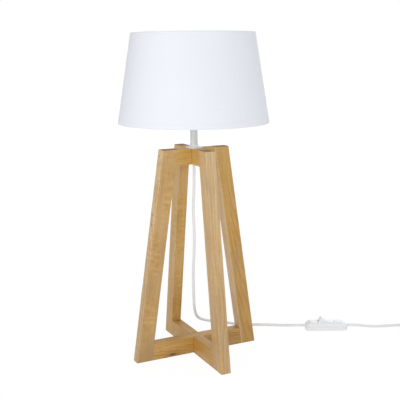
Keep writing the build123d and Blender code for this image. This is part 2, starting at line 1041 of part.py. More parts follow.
def arc_middle(start, end, tangent):
    """The middle of the arc that leaves start along tangent and reaches end."""
    chord = end - start
    sideways = chord - tangent * chord.dot(tangent)
    normal = sideways.normalized()
    radius = chord.length**2 / (2 * sideways.length)
    centre = start + normal * radius
    outwards = ((start + end) * 0.5 - centre).normalized()
    return centre + outwards * radius


def climbing_arcs(across, side, radius):
    """Two arcs that climb a layer in one half turn, level at both ends."""
    start = in_coil(0, across, coil_low)
    end = in_coil(0, across - 2 * side * radius, coil_high)
    leaving = heading * side
    reach = (end - start).length / 2
    joint = (start + end) * 0.5 + leaving * reach
    at_joint = (end - start).normalized()
    return [
        (start, arc_middle(start, joint, leaving), joint),
        (joint, arc_middle(joint, end, at_joint), end),
    ]


def coil_line():
    arcs = coil_arcs()
    with BuildLine() as line:
        Line(coil_start, arcs[0][0])
        for start, middle, end in arcs:
            ThreePointArc(start, middle, end)
        last = arcs[-1][2]
        Line(last, last - back * (2 * cord_radius))
    return line.wire()


def least_gap(line, radius):
    """The smallest clear space between turns, measured on points of the centreline."""
    step = 1.5
    count = int(line.length / step)
    points = [line @ (number / count) for number in range(count + 1)]
    skip = int(8 * radius / step)
    least = min(
        (points[b] - points[a]).length
        for a in range(count + 1)
        for b in range(a + skip, count + 1)
    )
    return least - 2 * radius


coil_path = coil_line()
cord_coil = sweep_round(coil_path, cord_radius)
coil_share = cord_coil.part.volume / (pi * cord_radius**2 * coil_path.length)
print("cord_coil length", round(coil_path.length, 1))
print("  volume over section times length", round(coil_share, 5))
print("  least gap between turns", round(least_gap(coil_path, cord_radius), 3))
finish(cord_coil, "cord_coil")

tie_inner_reach = coil_outer_turn - coil_pitch / 2 + cord_radius + tie_gap
tie_inner_near = coil_outer_turn - 3 * coil_pitch / 2 - cord_radius - tie_slack
tie_low = coil_low - cord_radius - tie_thickness - layer_gap / 2
tie_high = coil_high + cord_radius + tie_thickness + layer_gap
tie_middle = -(tie_inner_reach + tie_inner_near) / 2
tie_origin = in_coil(tie_middle, -tie_width / 2, (tie_low + tie_high) / 2)
tie_plane = Plane(origin=tie_origin, x_dir=heading, z_dir=back)
with BuildPart() as coil_tie:
    with BuildSketch(tie_plane):
        RectangleRounded(
            tie_inner_reach - tie_inner_near + 2 * tie_thickness,
            tie_high - tie_low,
            tie_corner,
        )
        RectangleRounded(
            tie_inner_reach - tie_inner_near,
            tie_high - tie_low - 2 * tie_thickness,
            tie_corner - tie_thickness,
            mode=Mode.SUBTRACT,
        )
    extrude(amount=tie_width)
finish(coil_tie, "coil_tie")


# Plug: it lies flat beside the coil with its pins pointing away from it
coil_end = coil_path @ 1
plug_line = plug_half_height + table_gap
plug_axis = -back


def in_plug(along, across, up):
    """A place along the plug from the coil's end, across it, and up."""
    level = Vector(coil_end.X, coil_end.Y, 0)
    return level + plug_axis * along + heading * across + Vector(0, 0, up)


lead_step = plug_lead / 3
free_cord(
    "cord_to_plug",
    [
        coil_end,
        in_plug(lead_step, 0, coil_end.Z),
        in_plug(2 * lead_step, 0, plug_line),
        in_plug(plug_lead, 0, plug_line),
    ],
)


def plug_plane(along):
    """Square to the plug's axis, facing its pins, with its width along the sketch's X."""
    return Plane(origin=in_plug(along, 0, plug_line), x_dir=-heading, z_dir=plug_axis)


body_start = plug_lead + plug_relief_length
body_end = body_start + plug_length


def make_plug_relief():
    side_plane = Plane(origin=in_plug(plug_lead, 0, plug_line), x_dir=plug_axis, z_dir=heading)
    with BuildPart() as relief:
        with BuildSketch(side_plane):
            with BuildLine():
                points = [(0, 0), (0, plug_relief_tip_radius)]
                pitch = plug_relief_length / plug_relief_ribs
                growth = (plug_relief_root_radius - plug_relief_tip_radius) / plug_relief_ribs
                for rib in range(plug_relief_ribs):
                    start = rib * pitch
                    radius = plug_relief_tip_radius + rib * growth
                    points += [
                        (start + pitch * 0.6, radius),
                        (start + pitch * 0.7, radius - plug_rib_groove),
                        (start + pitch * 0.9, radius - plug_rib_groove),
                        (start + pitch, radius + growth),
                    ]
                points.append((plug_relief_length, 0))
                Polyline(*points, close=True)
            make_face()
        revolve(axis=Axis(in_plug(0, 0, plug_line), plug_axis))
    return relief


finish(make_plug_relief(), "plug_relief")

pin_places = [(-pin_spacing / 2, 0), (pin_spacing / 2, 0)]
plug_flat = Plane(origin=in_plug(body_start, 0, plug_line), x_dir=plug_axis, z_dir=(0, 0, 1))
with BuildPart() as plug_body:
    with BuildSketch(plug_flat):
        with BuildLine():
            Polyline(
                (0, -plug_neck_half_width),
                (plug_wide_from, -plug_half_width),
                (plug_wide_to, -plug_half_width),
                (plug_length, -plug_face_half_width),
                (plug_length, plug_face_half_width),
                (plug_wide_to, plug_half_width),
                (plug_wide_from, plug_half_width),
                (0, plug_neck_half_width),
                close=True,
            )
        make_face()
    extrude(amount=plug_half_height, both=True)
    rim = plug_body.faces().filter_by(Axis.Z).edges()
    fillet(rim, plug_edge)
    with BuildSketch(plug_plane(body_end)):
        with Locations(*pin_places):
            Circle(pin_neck_radius + pin_clearance)
    extrude(amount=-pin_root, mode=Mode.SUBTRACT)
finish(plug_body, "plug_body")

with BuildPart() as plug_pins:
    with BuildSketch(plug_plane(body_end - pin_root)):
        with Locations(*pin_places):
            Circle(pin_neck_radius)
    extrude(amount=pin_root + pin_sleeve_length)
    with BuildSketch(plug_plane(body_end + pin_sleeve_length)):
        with Locations(*pin_places):
            Circle(pin_radius)
    extrude(amount=pin_length - pin_sleeve_length)
    pin_tips = plug_pins.faces().sort_by(Axis((0, 0, 0), plug_axis))[-2:]
    fillet(pin_tips.edges(), pin_tip_edge)
finish(plug_pins, "plug_pins")

with BuildPart() as pin_sleeves:
    with BuildSketch(plug_plane(body_end)):
        with Locations(*pin_places):
            Circle(pin_radius)
            Circle(pin_neck_radius + pin_clearance, mode=Mode.SUBTRACT)
    extrude(amount=pin_sleeve_length)
finish(pin_sleeves, "pin_sleeves")


# Inline switch
def switch_level(height):
    return Plane(origin=switch_origin + Vector(0, 0, height), x_dir=heading, z_dir=(0, 0, 1))


def switch_side(across):
    """Upright along the switch, facing its near side."""
    return Plane(origin=in_switch(0, across, 0), x_dir=heading, z_dir=-back)


def switch_end(along):
    return Plane(origin=in_switch(along, 0, 0), x_dir=back, z_dir=heading)


def posts(places, radius, low, high, mode=Mode.ADD):
    """Adds upright round posts to the piece that is being made."""
    with BuildSketch(switch_level(low)) as rounds:
        with Locations(*places):
            Circle(radius)
    extrude(rounds.sketch, amount=high - low, mode=mode)


def holes(places, radius, low, high):
    posts(places, radius, low, high, mode=Mode.SUBTRACT)


def cord_holes():
    """Cuts the cord's way through both ends of the piece that is being made."""
    with BuildSketch(switch_end(-switch_length / 2 - 1)) as round_hole:
        with Locations((0, switch_line)):
            Circle(cord_radius + cord_hole_clearance)
    extrude(round_hole.sketch, amount=switch_length + 2, mode=Mode.SUBTRACT)


def switch_block(length, width, corner, low, top_wall):
    """A rounded block under the cover's top, or under a wall below it."""
    flat_half = switch_length / 2 - switch_nose_length
    flat_top = switch_height - top_wall
    end_top = flat_top - switch_nose_drop
    with BuildPart() as block:
        with BuildSketch(switch_level(low)):
            RectangleRounded(length, width, corner)
        extrude(amount=switch_height)
        with BuildSketch(switch_side(width)) as side:
            with BuildLine():
                Polyline(
                    (-switch_length / 2, 0),
                    (-switch_length / 2, end_top),
                    (-flat_half, flat_top),
                    (flat_half, flat_top),
                    (switch_length / 2, end_top),
                    (switch_length / 2, 0),
                    close=True,
                )
            make_face()
            fillet(side.vertices().group_by(Axis.Y)[-1], switch_nose_ridge)
        extrude(amount=2 * width, mode=Mode.INTERSECT)
    return block.part


housing_screws_at = [
    (-housing_screw_place[0], housing_screw_place[1]),
    (housing_screw_place[0], -housing_screw_place[1]),
]
clamp_screws_at = [
    (along, across)
    for along in (-clamp_place, clamp_place)
    for across in (-clamp_screw_offset, clamp_screw_offset)
]
inner_length = switch_length - 2 * switch_wall
inner_width = switch_width - 2 * switch_wall
inner_corner = switch_corner - switch_wall
clamp_low = switch_line + cord_radius + saddle_gap
clamp_high = clamp_low + clamp_thickness
screw_hole_radius = small_screw_radius + screw_clearance

with BuildPart() as switch_base:
    with BuildSketch(switch_level(0)):
        RectangleRounded(switch_length, switch_width, switch_corner)
    extrude(amount=switch_split)
    fillet(switch_base.faces().sort_by(Axis.Z)[0].edges(), switch_bottom_edge)
    with BuildSketch(switch_level(switch_wall)):
        RectangleRounded(inner_length, inner_width, inner_corner)
    extrude(amount=switch_split, mode=Mode.SUBTRACT)
    posts(housing_screws_at, housing_post_radius, switch_wall / 2, switch_split)
    posts(clamp_screws_at, clamp_post_radius, switch_wall / 2, clamp_low)
    with BuildSketch(switch_level(switch_wall / 2)):
        with Locations((-clamp_place, 0), (clamp_place, 0)):
            Rectangle(clamp_width, 2 * clamp_screw_offset)
    extrude(amount=switch_line - cord_radius - saddle_gap - switch_wall / 2)
    cord_holes()
    holes(clamp_screws_at, screw_hole_radius, switch_wall, clamp_low + 1)
    holes(housing_screws_at, housing_screw_radius + screw_clearance, -1, switch_split + 1)
    holes(
        housing_screws_at,
        housing_screw_head_radius + screw_clearance,
        -1,
        housing_screw_recess + housing_screw_head,
    )
finish(switch_base, "switch_base")

with BuildPart() as cover_hollow:
    hollow_low = switch_split - 1
    add(switch_block(inner_length, inner_width, inner_corner, hollow_low, switch_top_wall))
    holes(housing_screws_at, housing_post_radius, hollow_low, switch_height)
    with BuildSketch(switch_level(hollow_low)):
        Rectangle(2 * cheek_half_length, switch_width)
    extrude(amount=switch_height, mode=Mode.SUBTRACT)

with BuildPart() as switch_cover:
    add(switch_block(switch_length, switch_width, switch_corner, switch_split, 0))
    walls = switch_cover.faces().filter_by(lambda face: round(face.normal_at().Z, 3) == 0)
    level_edges = walls.edges().filter_by(Axis.Z, reverse=True).group_by(Axis.Z)
    fillet([edge for group in level_edges[1:] for edge in group], switch_top_edge)
    add(cover_hollow.part, mode=Mode.SUBTRACT)
    with BuildSketch(switch_level(switch_split - 1)):
        Rectangle(2 * well_half_length, 2 * well_half_width)
    extrude(amount=switch_height, mode=Mode.SUBTRACT)
    pivot_hole_depth = rocker_width / 2 + pivot_length + rocker_end_gap
    with BuildSketch(switch_side(-pivot_hole_depth)):
        with Locations((0, pivot_height)):
            Circle(pivot_radius + pivot_clearance)
    extrude(amount=-2 * pivot_hole_depth, mode=Mode.SUBTRACT)
    cord_holes()
    screw_hole_top = housing_screw_top + housing_screw_end_gap
    holes(housing_screws_at, housing_screw_radius + screw_clearance, 0, screw_hole_top)
finish(switch_cover, "switch_cover")


def make_rocker():
    """Modelled level and then tipped about its pivot, with its lamp end up."""
    swing_low = sqrt(rocker_swing**2 - rocker_skirt**2)
    pivot_plane = Plane(
        origin=in_switch(0, rocker_width / 2, pivot_height), x_dir=heading, z_dir=-back
    )
    with BuildPart() as rocker:
        with BuildSketch(pivot_plane):
            with BuildLine():
                Polyline(
                    (-rocker_half_length, rocker_end_height),
                    (0, rocker_crown),
                    (rocker_half_length, rocker_end_height),
                )
                ThreePointArc(
                    (rocker_half_length, rocker_end_height),
                    (rocker_swing, 0),
                    (swing_low, -rocker_skirt),
                )
                Polyline(
                    (swing_low, -rocker_skirt),
                    (rocker_nose_half_width, -rocker_skirt),
                    (rocker_nose_half_width / 2, -rocker_nose),
                    (-rocker_nose_half_width / 2, -rocker_nose),
                    (-rocker_nose_half_width, -rocker_skirt),
                    (-swing_low, -rocker_skirt),
                )
                ThreePointArc(
                    (-swing_low, -rocker_skirt),
                    (-rocker_swing, 0),
                    (-rocker_half_length, rocker_end_height),
                )
            make_face()
        extrude(amount=rocker_width)
        straight = rocker.edges().filter_by(GeomType.LINE)
        above = pivot_height + rocker_crown + rocker_edge
        fillet(straight.filter_by(lambda edge: edge.center().Z > above), rocker_edge)
        with BuildSketch(switch_side(-rocker_width / 2 - pivot_length)):
            with Locations((0, pivot_height)):
                Circle(pivot_radius)
        extrude(amount=-(rocker_width + 2 * pivot_length))
    pivot = Axis(in_switch(0, 0, pivot_height), back)
    rocker.part = rocker.part.rotate(pivot, rocker_slope)
    return rocker


finish(make_rocker(), "switch_rocker")

with BuildPart() as cord_clamps:
    with BuildSketch(switch_level(clamp_low)):
        with Locations((-clamp_place, 0), (clamp_place, 0)):
            Rectangle(clamp_width, 2 * (clamp_screw_offset + clamp_post_radius))
        with Locations(*clamp_screws_at):
            Circle(screw_hole_radius, mode=Mode.SUBTRACT)
    extrude(amount=clamp_thickness)
finish(cord_clamps, "cord_clamps")

with BuildPart() as clamp_screws:
    posts(clamp_screws_at, small_screw_radius, clamp_high - small_screw_length, clamp_high)
    posts(clamp_screws_at, small_screw_head_radius, clamp_high, clamp_high + small_screw_head)
finish(clamp_screws, "clamp_screws")

with BuildPart() as housing_screws:
    head_top = housing_screw_recess + housing_screw_head
    posts(housing_screws_at, housing_screw_head_radius, housing_screw_recess, head_top)
    posts(housing_screws_at, housing_screw_radius, head_top, housing_screw_top)
finish(housing_screws, "housing_screws")

block_middle = block_near + block_size / 2
block_across = block_side_gap + block_size / 2
blocks_at = [
    (along, across)
    for along in (-block_middle, block_middle)
    for across in (-block_across, block_across)
]
block_top = switch_wall + block_height
with BuildPart() as terminal_blocks:
    with BuildSketch(switch_level(switch_wall)):
        with Locations(*blocks_at):
            Rectangle(block_size, block_size)
    extrude(amount=block_height)
    holes(
        blocks_at,
        block_screw_radius + screw_clearance,
        block_top - block_screw_depth,
        block_top + 1,
    )
finish(terminal_blocks, "terminal_blocks")

with BuildPart() as terminal_screws:
    screw_low = block_top - block_screw_depth + block_screw_end_gap
    posts(blocks_at, block_screw_radius, screw_low, block_top)
    posts(blocks_at, block_screw_head_radius, block_top, block_top + small_screw_head)
finish(terminal_screws, "terminal_screws")

blade_level = switch_wall + blade_height
blade_crest = pivot_height - rocker_nose - blade_crest_gap
blade_tip = block_near - fixed_contact_reach
with BuildPart() as contact_blade:
    with BuildSketch(switch_side(block_across + blade_width / 2)):
        with BuildLine():
            Polyline(
                (-block_near, blade_level),
                (-block_near / 2, blade_level),
                (-blade_crest_half_length, blade_crest - blade_thickness),
                (blade_crest_half_length, blade_crest - blade_thickness),
                (blade_tip, blade_level),
                (blade_tip + blade_end, blade_level),
                (blade_tip + blade_end, blade_level + blade_thickness),
                (blade_tip, blade_level + blade_thickness),
                (blade_crest_half_length, blade_crest),
                (-blade_crest_half_length, blade_crest),
                (-block_near / 2, blade_level + blade_thickness),
                (-block_near, blade_level + blade_thickness),
                close=True,
            )
        make_face()
    extrude(amount=blade_width)
finish(contact_blade, "contact_blade")

with BuildPart() as fixed_contact:
    with BuildSketch(switch_side(block_across + blade_width / 2)):
        with BuildLine():
            contact_level = switch_wall + fixed_contact_height
            Polyline(
                (blade_tip, contact_level),
                (block_near, contact_level),
                (block_near, contact_level + blade_thickness),
                (blade_tip, contact_level + blade_thickness),
                close=True,
            )
        make_face()
    extrude(amount=blade_width)
finish(fixed_contact, "fixed_contact")

core_ends = cord_reach_in_switch - (block_near + block_size)
with BuildPart() as switch_leads:
    for side in (-1, 1):
        with BuildSketch(switch_end(side * cord_reach_in_switch)):
            with Locations((-core_spread, switch_line), (core_spread, switch_line)):
                Circle(core_radius)
        extrude(amount=-side * core_ends)
    with BuildSketch(switch_end(-block_near)):
        with Locations((-block_across, switch_wall + link_height)):
            Circle(core_radius)
    extrude(amount=2 * block_near)
finish(switch_leads, "switch_leads")
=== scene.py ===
import math

import bmesh
import bpy
from mathutils import Matrix, Vector, noise


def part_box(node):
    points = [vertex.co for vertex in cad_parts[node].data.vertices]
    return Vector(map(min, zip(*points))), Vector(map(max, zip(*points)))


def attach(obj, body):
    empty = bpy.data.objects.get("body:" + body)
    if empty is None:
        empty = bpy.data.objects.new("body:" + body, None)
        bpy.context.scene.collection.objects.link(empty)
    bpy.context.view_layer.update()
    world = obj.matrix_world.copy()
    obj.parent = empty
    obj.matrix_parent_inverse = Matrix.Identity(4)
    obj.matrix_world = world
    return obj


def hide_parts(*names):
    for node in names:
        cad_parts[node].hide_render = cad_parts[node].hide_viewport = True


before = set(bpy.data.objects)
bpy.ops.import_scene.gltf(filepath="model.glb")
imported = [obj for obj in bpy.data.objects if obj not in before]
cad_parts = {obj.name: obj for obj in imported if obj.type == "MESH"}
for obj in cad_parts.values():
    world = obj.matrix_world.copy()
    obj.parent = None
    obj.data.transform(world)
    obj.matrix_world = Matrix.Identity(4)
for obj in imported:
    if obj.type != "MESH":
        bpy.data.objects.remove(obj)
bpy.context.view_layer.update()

# Column bedside lamp. Lengths are in metres, in the model's own frame: +Z up, the column on the
# Z axis, one timber frame along X and the other along Y.
mm = 0.001
along_x = Vector((1, 0, 0))
along_y = Vector((0, 1, 0))
upright = Vector((0, 0, 1))


def add_object(name, data):
    """Puts a mesh, a curve, a lamp or a camera into the scene."""
    thing = bpy.data.objects.new(name, data)
    bpy.context.scene.collection.objects.link(thing)
    return thing


# Camera: it looks at the column from the front left, a little from above
camera_turn = math.radians(-25.906)  # round the column, from the -Y side
camera_distance = 1.4114
camera_height = 0.5790
camera_sideways = 0.0104
camera_dip = 0.19489
camera_roll = -0.00818
focal_length_px = 761.7
picture_width_px = 400
sensor_width_mm = 36.0


def make_camera():
    data = bpy.data.cameras.new("camera")
    data.sensor_width = sensor_width_mm
    data.lens = focal_length_px / picture_width_px * sensor_width_mm
    data.clip_start = 0.05
    data.clip_end = 60
    camera = add_object("camera", data)
    bpy.context.scene.camera = camera
    right = Vector((math.cos(camera_turn), math.sin(camera_turn), 0))
    level = Vector((-math.sin(camera_turn), math.cos(camera_turn), 0))
    forward = level * math.cos(camera_dip) - upright * math.sin(camera_dip)
    up = right.cross(forward)
    rolled_right = right * math.cos(camera_roll) + up * math.sin(camera_roll)
    rolled_up = up * math.cos(camera_roll) - right * math.sin(camera_roll)
    place = upright * camera_height - level * camera_distance + right * camera_sideways
    turn = Matrix((rolled_right, rolled_up, -forward)).transposed()
    camera.matrix_world = Matrix.Translation(place) @ turn.to_4x4()


make_camera()


# Cord: its points repeat the route that the model's source gives, in metres
cord_radius = 2.8 * mm
table_gap = 0.1 * mm
cord_exit = Vector((0, 0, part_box("cord_bush")[0].z))
route_angle = math.radians(-25.9)
heading = Vector((math.cos(route_angle), math.sin(route_angle), 0))
back = Vector((-heading.y, heading.x, 0))
switch_middle = Vector((0.2941, -0.0205, 0))
switch_length = 88 * mm
switch_line = 8.5 * mm
cord_in_switch = 16.5 * mm
switch_lead = 20 * mm  # how far the cord runs straight out of the switch
coil_centre = Vector((0.4626, -0.1302, 0))
coil_outer_turn = 36 * mm
coil_pitch = 6.1 * mm
coil_half_turns_in = 4
coil_low = cord_radius + table_gap + 0.7 * mm
coil_high = coil_low + coil_pitch
coil_run_in = 32 * mm
points_per_half_turn = 8
plug_lead = 42.4 * mm
plug_half_height = 6.8 * mm
plug_line = plug_half_height + table_gap

lamp_route = [
    (0, 0, 0.3280),
    (-0.0015, 0.0040, 0.2840),
    (0.0020, 0.0060, 0.2410),
    (0.0035, 0.0105, 0.1990),
    (0.0040, 0.0175, 0.1560),
    (0.0080, 0.0250, 0.1150),
    (0.0140, 0.0360, 0.0720),
    (0.0330, 0.0605, 0.0405),
    (0.0700, 0.0760, 0.0240),
    (0.1110, 0.0870, 0.0095),
    (0.1480, 0.0730, 0.0029),
    (0.1860, 0.0550, 0.0029),
    (0.2170, 0.0290, 0.0045),
]
coil_route = [
    (0.3840, -0.0610, 0.0032),
    (0.4200, -0.0720, 0.0029),
]


def in_switch(along):
    """A place on the cord's line through the switch."""
    return switch_middle + heading * along + upright * switch_line


def in_coil(along, across, up):
    """A place in the coil: along the heading, towards the back, and up."""
    return coil_centre + heading * along + back * across + upright * up


def half_turn(across, side, radius, low, high):
    """Points round half a turn of the coil, without its first, from low to high."""
    points = []
    for step in range(1, points_per_half_turn + 1):
        share = step / points_per_half_turn
        angle = math.pi * share
        along = side * radius * math.sin(angle)
        place = across - side * radius * (1 - math.cos(angle))
        points.append(in_coil(along, place, low + (high - low) * share))
    return points


def coil_points():
    """Half turns that tighten below, one that climbs, and half turns that widen above."""
    points = [in_coil(0, coil_outer_turn, coil_low)]
    across, side, radius = coil_outer_turn, 1, coil_outer_turn
    for number in range(coil_half_turns_in):
        points += half_turn(across, side, radius, coil_low, coil_low)
        across -= 2 * side * radius
        side = -side
        radius -= coil_pitch / 2
    points += half_turn(across, side, radius, coil_low, coil_high)
    across -= 2 * side * radius
    for number in range(coil_half_turns_in - 1):
        side = -side
        radius += coil_pitch / 2
        points += half_turn(across, side, radius, coil_high, coil_high)
        across -= 2 * side * radius
    side = -side
    radius += coil_pitch / 2
    last_quarter = half_turn(across, side, radius, coil_high, coil_high)
    return points + last_quarter[: points_per_half_turn // 2]


coil_end = in_coil(coil_outer_turn, -2 * cord_radius, coil_high)


def in_plug(along, up):
    """A place along the plug's line, from the coil's end, and up."""
    return Vector((coil_end.x, coil_end.y, 0)) - back * along + upright * up


def make_cord(name, points):
    data = bpy.data.curves.new(name, "CURVE")
    data.dimensions = "3D"
    data.bevel_depth = cord_radius
    data.bevel_resolution = 6
    data.resolution_u = 10
    data.use_fill_caps = True
    line = data.splines.new("NURBS")
    line.points.add(len(points) - 1)
    for place, point in zip(points, line.points):
        point.co = (*place, 1)
    line.order_u = 3
    line.use_endpoint_u = True
    return add_object(name, data)


cord_reach = switch_length / 2 - cord_in_switch
switch_cord = make_cord(
    "switch_cord",
    [cord_exit]
    + lamp_route
    + [in_switch(-switch_length / 2 - switch_lead)]
    + [in_switch(-cord_reach)],
)
plug_cord = make_cord(
    "plug_cord",
    [in_switch(cord_reach)]
    + [in_switch(switch_length / 2 + switch_lead)]
    + coil_route
    + [in_coil(-coil_run_in, coil_outer_turn, coil_low)]
    + [in_coil(-2 * cord_radius, coil_outer_turn, coil_low)]
    + coil_points()
    + [coil_end]
    + [in_plug(plug_lead / 3, coil_high)]
    + [in_plug(2 * plug_lead / 3, plug_line)]
    + [in_plug(plug_lead, plug_line)],
)


# Making meshes
def new_piece(name, shape, finish, body, slot, *nodes, smooth_below=35):
    """Turns a bmesh into a piece that rides on a body and stands for its nodes."""
    crease = math.radians(smooth_below)
    bmesh.ops.recalc_face_normals(shape, faces=shape.faces)
    for face in shape.faces:
        face.smooth = True
    for edge in shape.edges:
        if edge.is_manifold:
            edge.smooth = edge.calc_face_angle() < crease
    data = bpy.data.meshes.new(name)
    shape.to_mesh(data)
    shape.free()
    data.materials.append(finish)
    piece = add_object(name, data)
    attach(piece, body)
    if nodes:
        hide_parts(*nodes)
    return piece


def rounded(corners, steps=5):
    """A closed outline of (x, y, radius) corners, rounded off where there is a radius."""
    outline = []
    for number, (x, y, radius) in enumerate(corners):
        here = Vector((x, y))
        if not radius:
            outline.append(here)
            continue
        before = Vector(corners[number - 1][:2]) - here
        after = Vector(corners[(number + 1) % len(corners)][:2]) - here
        half = before.angle(after) / 2
        reach = min(radius / math.tan(half), 0.49 * before.length, 0.49 * after.length)
        start = here + before.normalized() * reach
        end = here + after.normalized() * reach
        for step in range(steps + 1):
            share = step / steps
            outline.append(
                start * (1 - share) ** 2 + here * 2 * share * (1 - share) + end * share**2
            )
    return outline


def join_rings(shape, rings, closed=False, caps=False):
    """Faces between rings of vertices that have the same number of points."""
    pairs = list(zip(rings, rings[1:]))
    if closed:
        pairs.append((rings[-1], rings[0]))
    for lower, upper in pairs:
        for number in range(len(lower)):
            following = (number + 1) % len(lower)
            shape.faces.new((lower[number], lower[following], upper[following], upper[number]))
    if caps:
        shape.faces.new(rings[0])
        shape.faces.new(rings[-1])


def turned(outline, segments=96, ripple=None, place=None):
    """A closed solid turned about Z from a closed outline of (radius, height) points."""
    shape = bmesh.new()
    rings = []
    for segment in range(segments):
        angle = 2 * math.pi * segment / segments
        ring = []
        for radius, height in outline:
            if ripple:
                radius += ripple(angle, height)
            point = Vector((radius * math.cos(angle), radius * math.sin(angle), height))
            ring.append(shape.verts.new(place @ point if place else point))
        rings.append(ring)
    join_rings(shape, rings, closed=True)
    bmesh.ops.remove_doubles(shape, verts=shape.verts, dist=1e-6)
    return shape


def rounded_rectangle(half_length, half_width, radius, steps=6):
    """Points round a level rectangle whose corners are rounded."""
    points = []
    for corner in range(4):
        turn = math.pi / 2 * corner
        sign_x = 1 if corner in (0, 3) else -1
        sign_y = 1 if corner in (0, 1) else -1
        for step in range(steps + 1):
            angle = turn + math.pi / 2 * step / steps
            x = sign_x * (half_length - radius) + radius * math.cos(angle)
            y = sign_y * (half_width - radius) + radius * math.sin(angle)
            points.append((x, y))
    return points


def stacked(levels, place, closed=False, caps=False):
    """A solid through rounded rectangles (half length, half width, radius, height)."""
    shape = bmesh.new()
    rings = []
    for half_length, half_width, radius, height in levels:
        ring = []
        for x, y in rounded_rectangle(half_length, half_width, radius):
            ring.append(shape.verts.new(place @ Vector((x, y, height))))
        rings.append(ring)
    join_rings(shape, rings, closed, caps)
    return shape


def directions(x_axis, y_axis, z_axis, origin):
    """The matrix that takes a piece's own directions to the model's frame."""
    turn = Matrix((x_axis, y_axis, z_axis)).transposed()
    return Matrix.Translation(origin) @ turn.to_4x4()


# Shader maths
mix_first_colour = 6  # where the Mix node has its first colour socket
mix_colour_out = 2


class Level:
    """A node's output. Its operators add Math nodes to the same tree."""

    def __init__(self, tree, socket):
        self.tree = tree
        self.socket = socket

    def __add__(self, other):
        return self.tree.maths("ADD", self, other)

    def __radd__(self, other):
        return self.tree.maths("ADD", other, self)

    def __sub__(self, other):
        return self.tree.maths("SUBTRACT", self, other)

    def __rsub__(self, other):
        return self.tree.maths("SUBTRACT", other, self)

    def __mul__(self, other):
        return self.tree.maths("MULTIPLY", self, other)

    def __rmul__(self, other):
        return self.tree.maths("MULTIPLY", other, self)

    def __truediv__(self, other):
        return self.tree.maths("DIVIDE", self, other)

    def __pow__(self, other):
        return self.tree.maths("POWER", self, other)

    def __abs__(self):
        return self.tree.maths("ABSOLUTE", self)


class Shading:
    """The nodes of a material or of the world."""

    def __init__(self, nodes):
        self.nodes = nodes

    def put(self, socket, value):
        """Gives a socket a link, a colour or a plain value."""
        if isinstance(value, Level):
            self.nodes.links.new(value.socket, socket)
        elif socket.type == "RGBA":
            socket.default_value = (*value, 1)
        else:
            socket.default_value = value

    def node(self, kind, settings, *values, output=0, **named):
        """Adds a node, with its settings first and then its sockets, by order or by name."""
        node = self.nodes.nodes.new(kind)
        for name, value in settings.items():
            if name == "stops":
                self.set_stops(node.color_ramp, value)
            else:
                setattr(node, name, value)
        sockets = list(enumerate(values))
        sockets += [(name.replace("_", " ").title(), value) for name, value in named.items()]
        for name, value in sockets:
            if value is not None:
                self.put(node.inputs[name], value)
        return Level(self, node.outputs[output])

    def maths(self, operation, *values):
        return self.node("ShaderNodeMath", {"operation": operation}, *values)

    def set_stops(self, ramp, stops):
        while len(ramp.elements) < len(stops):
            ramp.elements.new(0.5)
        for element, (place, colour) in zip(ramp.elements, stops):
            element.position = place
            element.color = (*colour, 1)

    def between(self, level, low, high, start=0.0, end=1.0):
        """start up to low, end from high, and smooth between them."""
        settings = {"interpolation_type": "SMOOTHSTEP"}
        return self.node("ShaderNodeMapRange", settings, level, low, high, start, end)

    def place(self):
        """Where a point lies in the model's frame."""
        return self.node("ShaderNodeTexCoord", {}, output="Object")

    def along(self, place, direction, offset=0.0):
        """How far a point lies along a direction."""
        settings = {"operation": "DOT_PRODUCT"}
        far = self.node("ShaderNodeVectorMath", settings, place, direction, output="Value")
        return far + offset

    def length(self, vector):
        """How long a vector is."""
        settings = {"operation": "LENGTH"}
        return self.node("ShaderNodeVectorMath", settings, vector, output="Value")

    def vector(self, x, y, z):
        return self.node("ShaderNodeCombineXYZ", {}, x, y, z)

    def noise(self, place, scale, detail=2.0, roughness=0.5):
        named = {"scale": scale, "detail": detail, "roughness": roughness}
        return self.node("ShaderNodeTexNoise", {}, vector=place, output="Fac", **named)

    def ramp(self, level, *stops):
        return self.node("ShaderNodeValToRGB", {"stops": stops}, level)

    def mix(self, share, first, second):
        """A mix of two colours, in the Mix node's colour sockets."""
        settings = {"data_type": "RGBA", "clamp_factor": True}
        no_numbers = [None] * (mix_first_colour - 1)
        sockets = [share, *no_numbers, first, second]
        return self.node("ShaderNodeMix", settings, *sockets, output=mix_colour_out)

    def shown_ray(self):
        """1 for what the camera, glossy surfaces and clear ones see."""
        seen = self.node("ShaderNodeLightPath", {}, output="Is Camera Ray")
        for name in ("Is Glossy Ray", "Is Transmission Ray"):
            seen = self.maths("MAXIMUM", seen, self.node("ShaderNodeLightPath", {}, output=name))
        return seen


class Finish(Shading):
    """A material on one Principled shader."""

    def __init__(self, name, colour, roughness, **constants):
        self.material = bpy.data.materials.new(name)
        self.material.use_nodes = True
        super().__init__(self.material.node_tree)
        self.shader = self.nodes.nodes["Principled BSDF"]
        self.material.diffuse_color = (*colour, 1)
        self.set("Base Color", colour)
        self.set("Roughness", roughness)
        for socket, value in constants.items():
            self.set(socket.replace("_", " ").title(), value)

    def set(self, name, value):
        self.put(self.shader.inputs[name], value)

    def bump(self, height, depth, strength=1.0):
        """Raises the surface by up to depth where height is 1."""
        named = {"height": height, "distance": depth, "strength": strength}
        self.set("Normal", self.node("ShaderNodeBump", {}, **named))


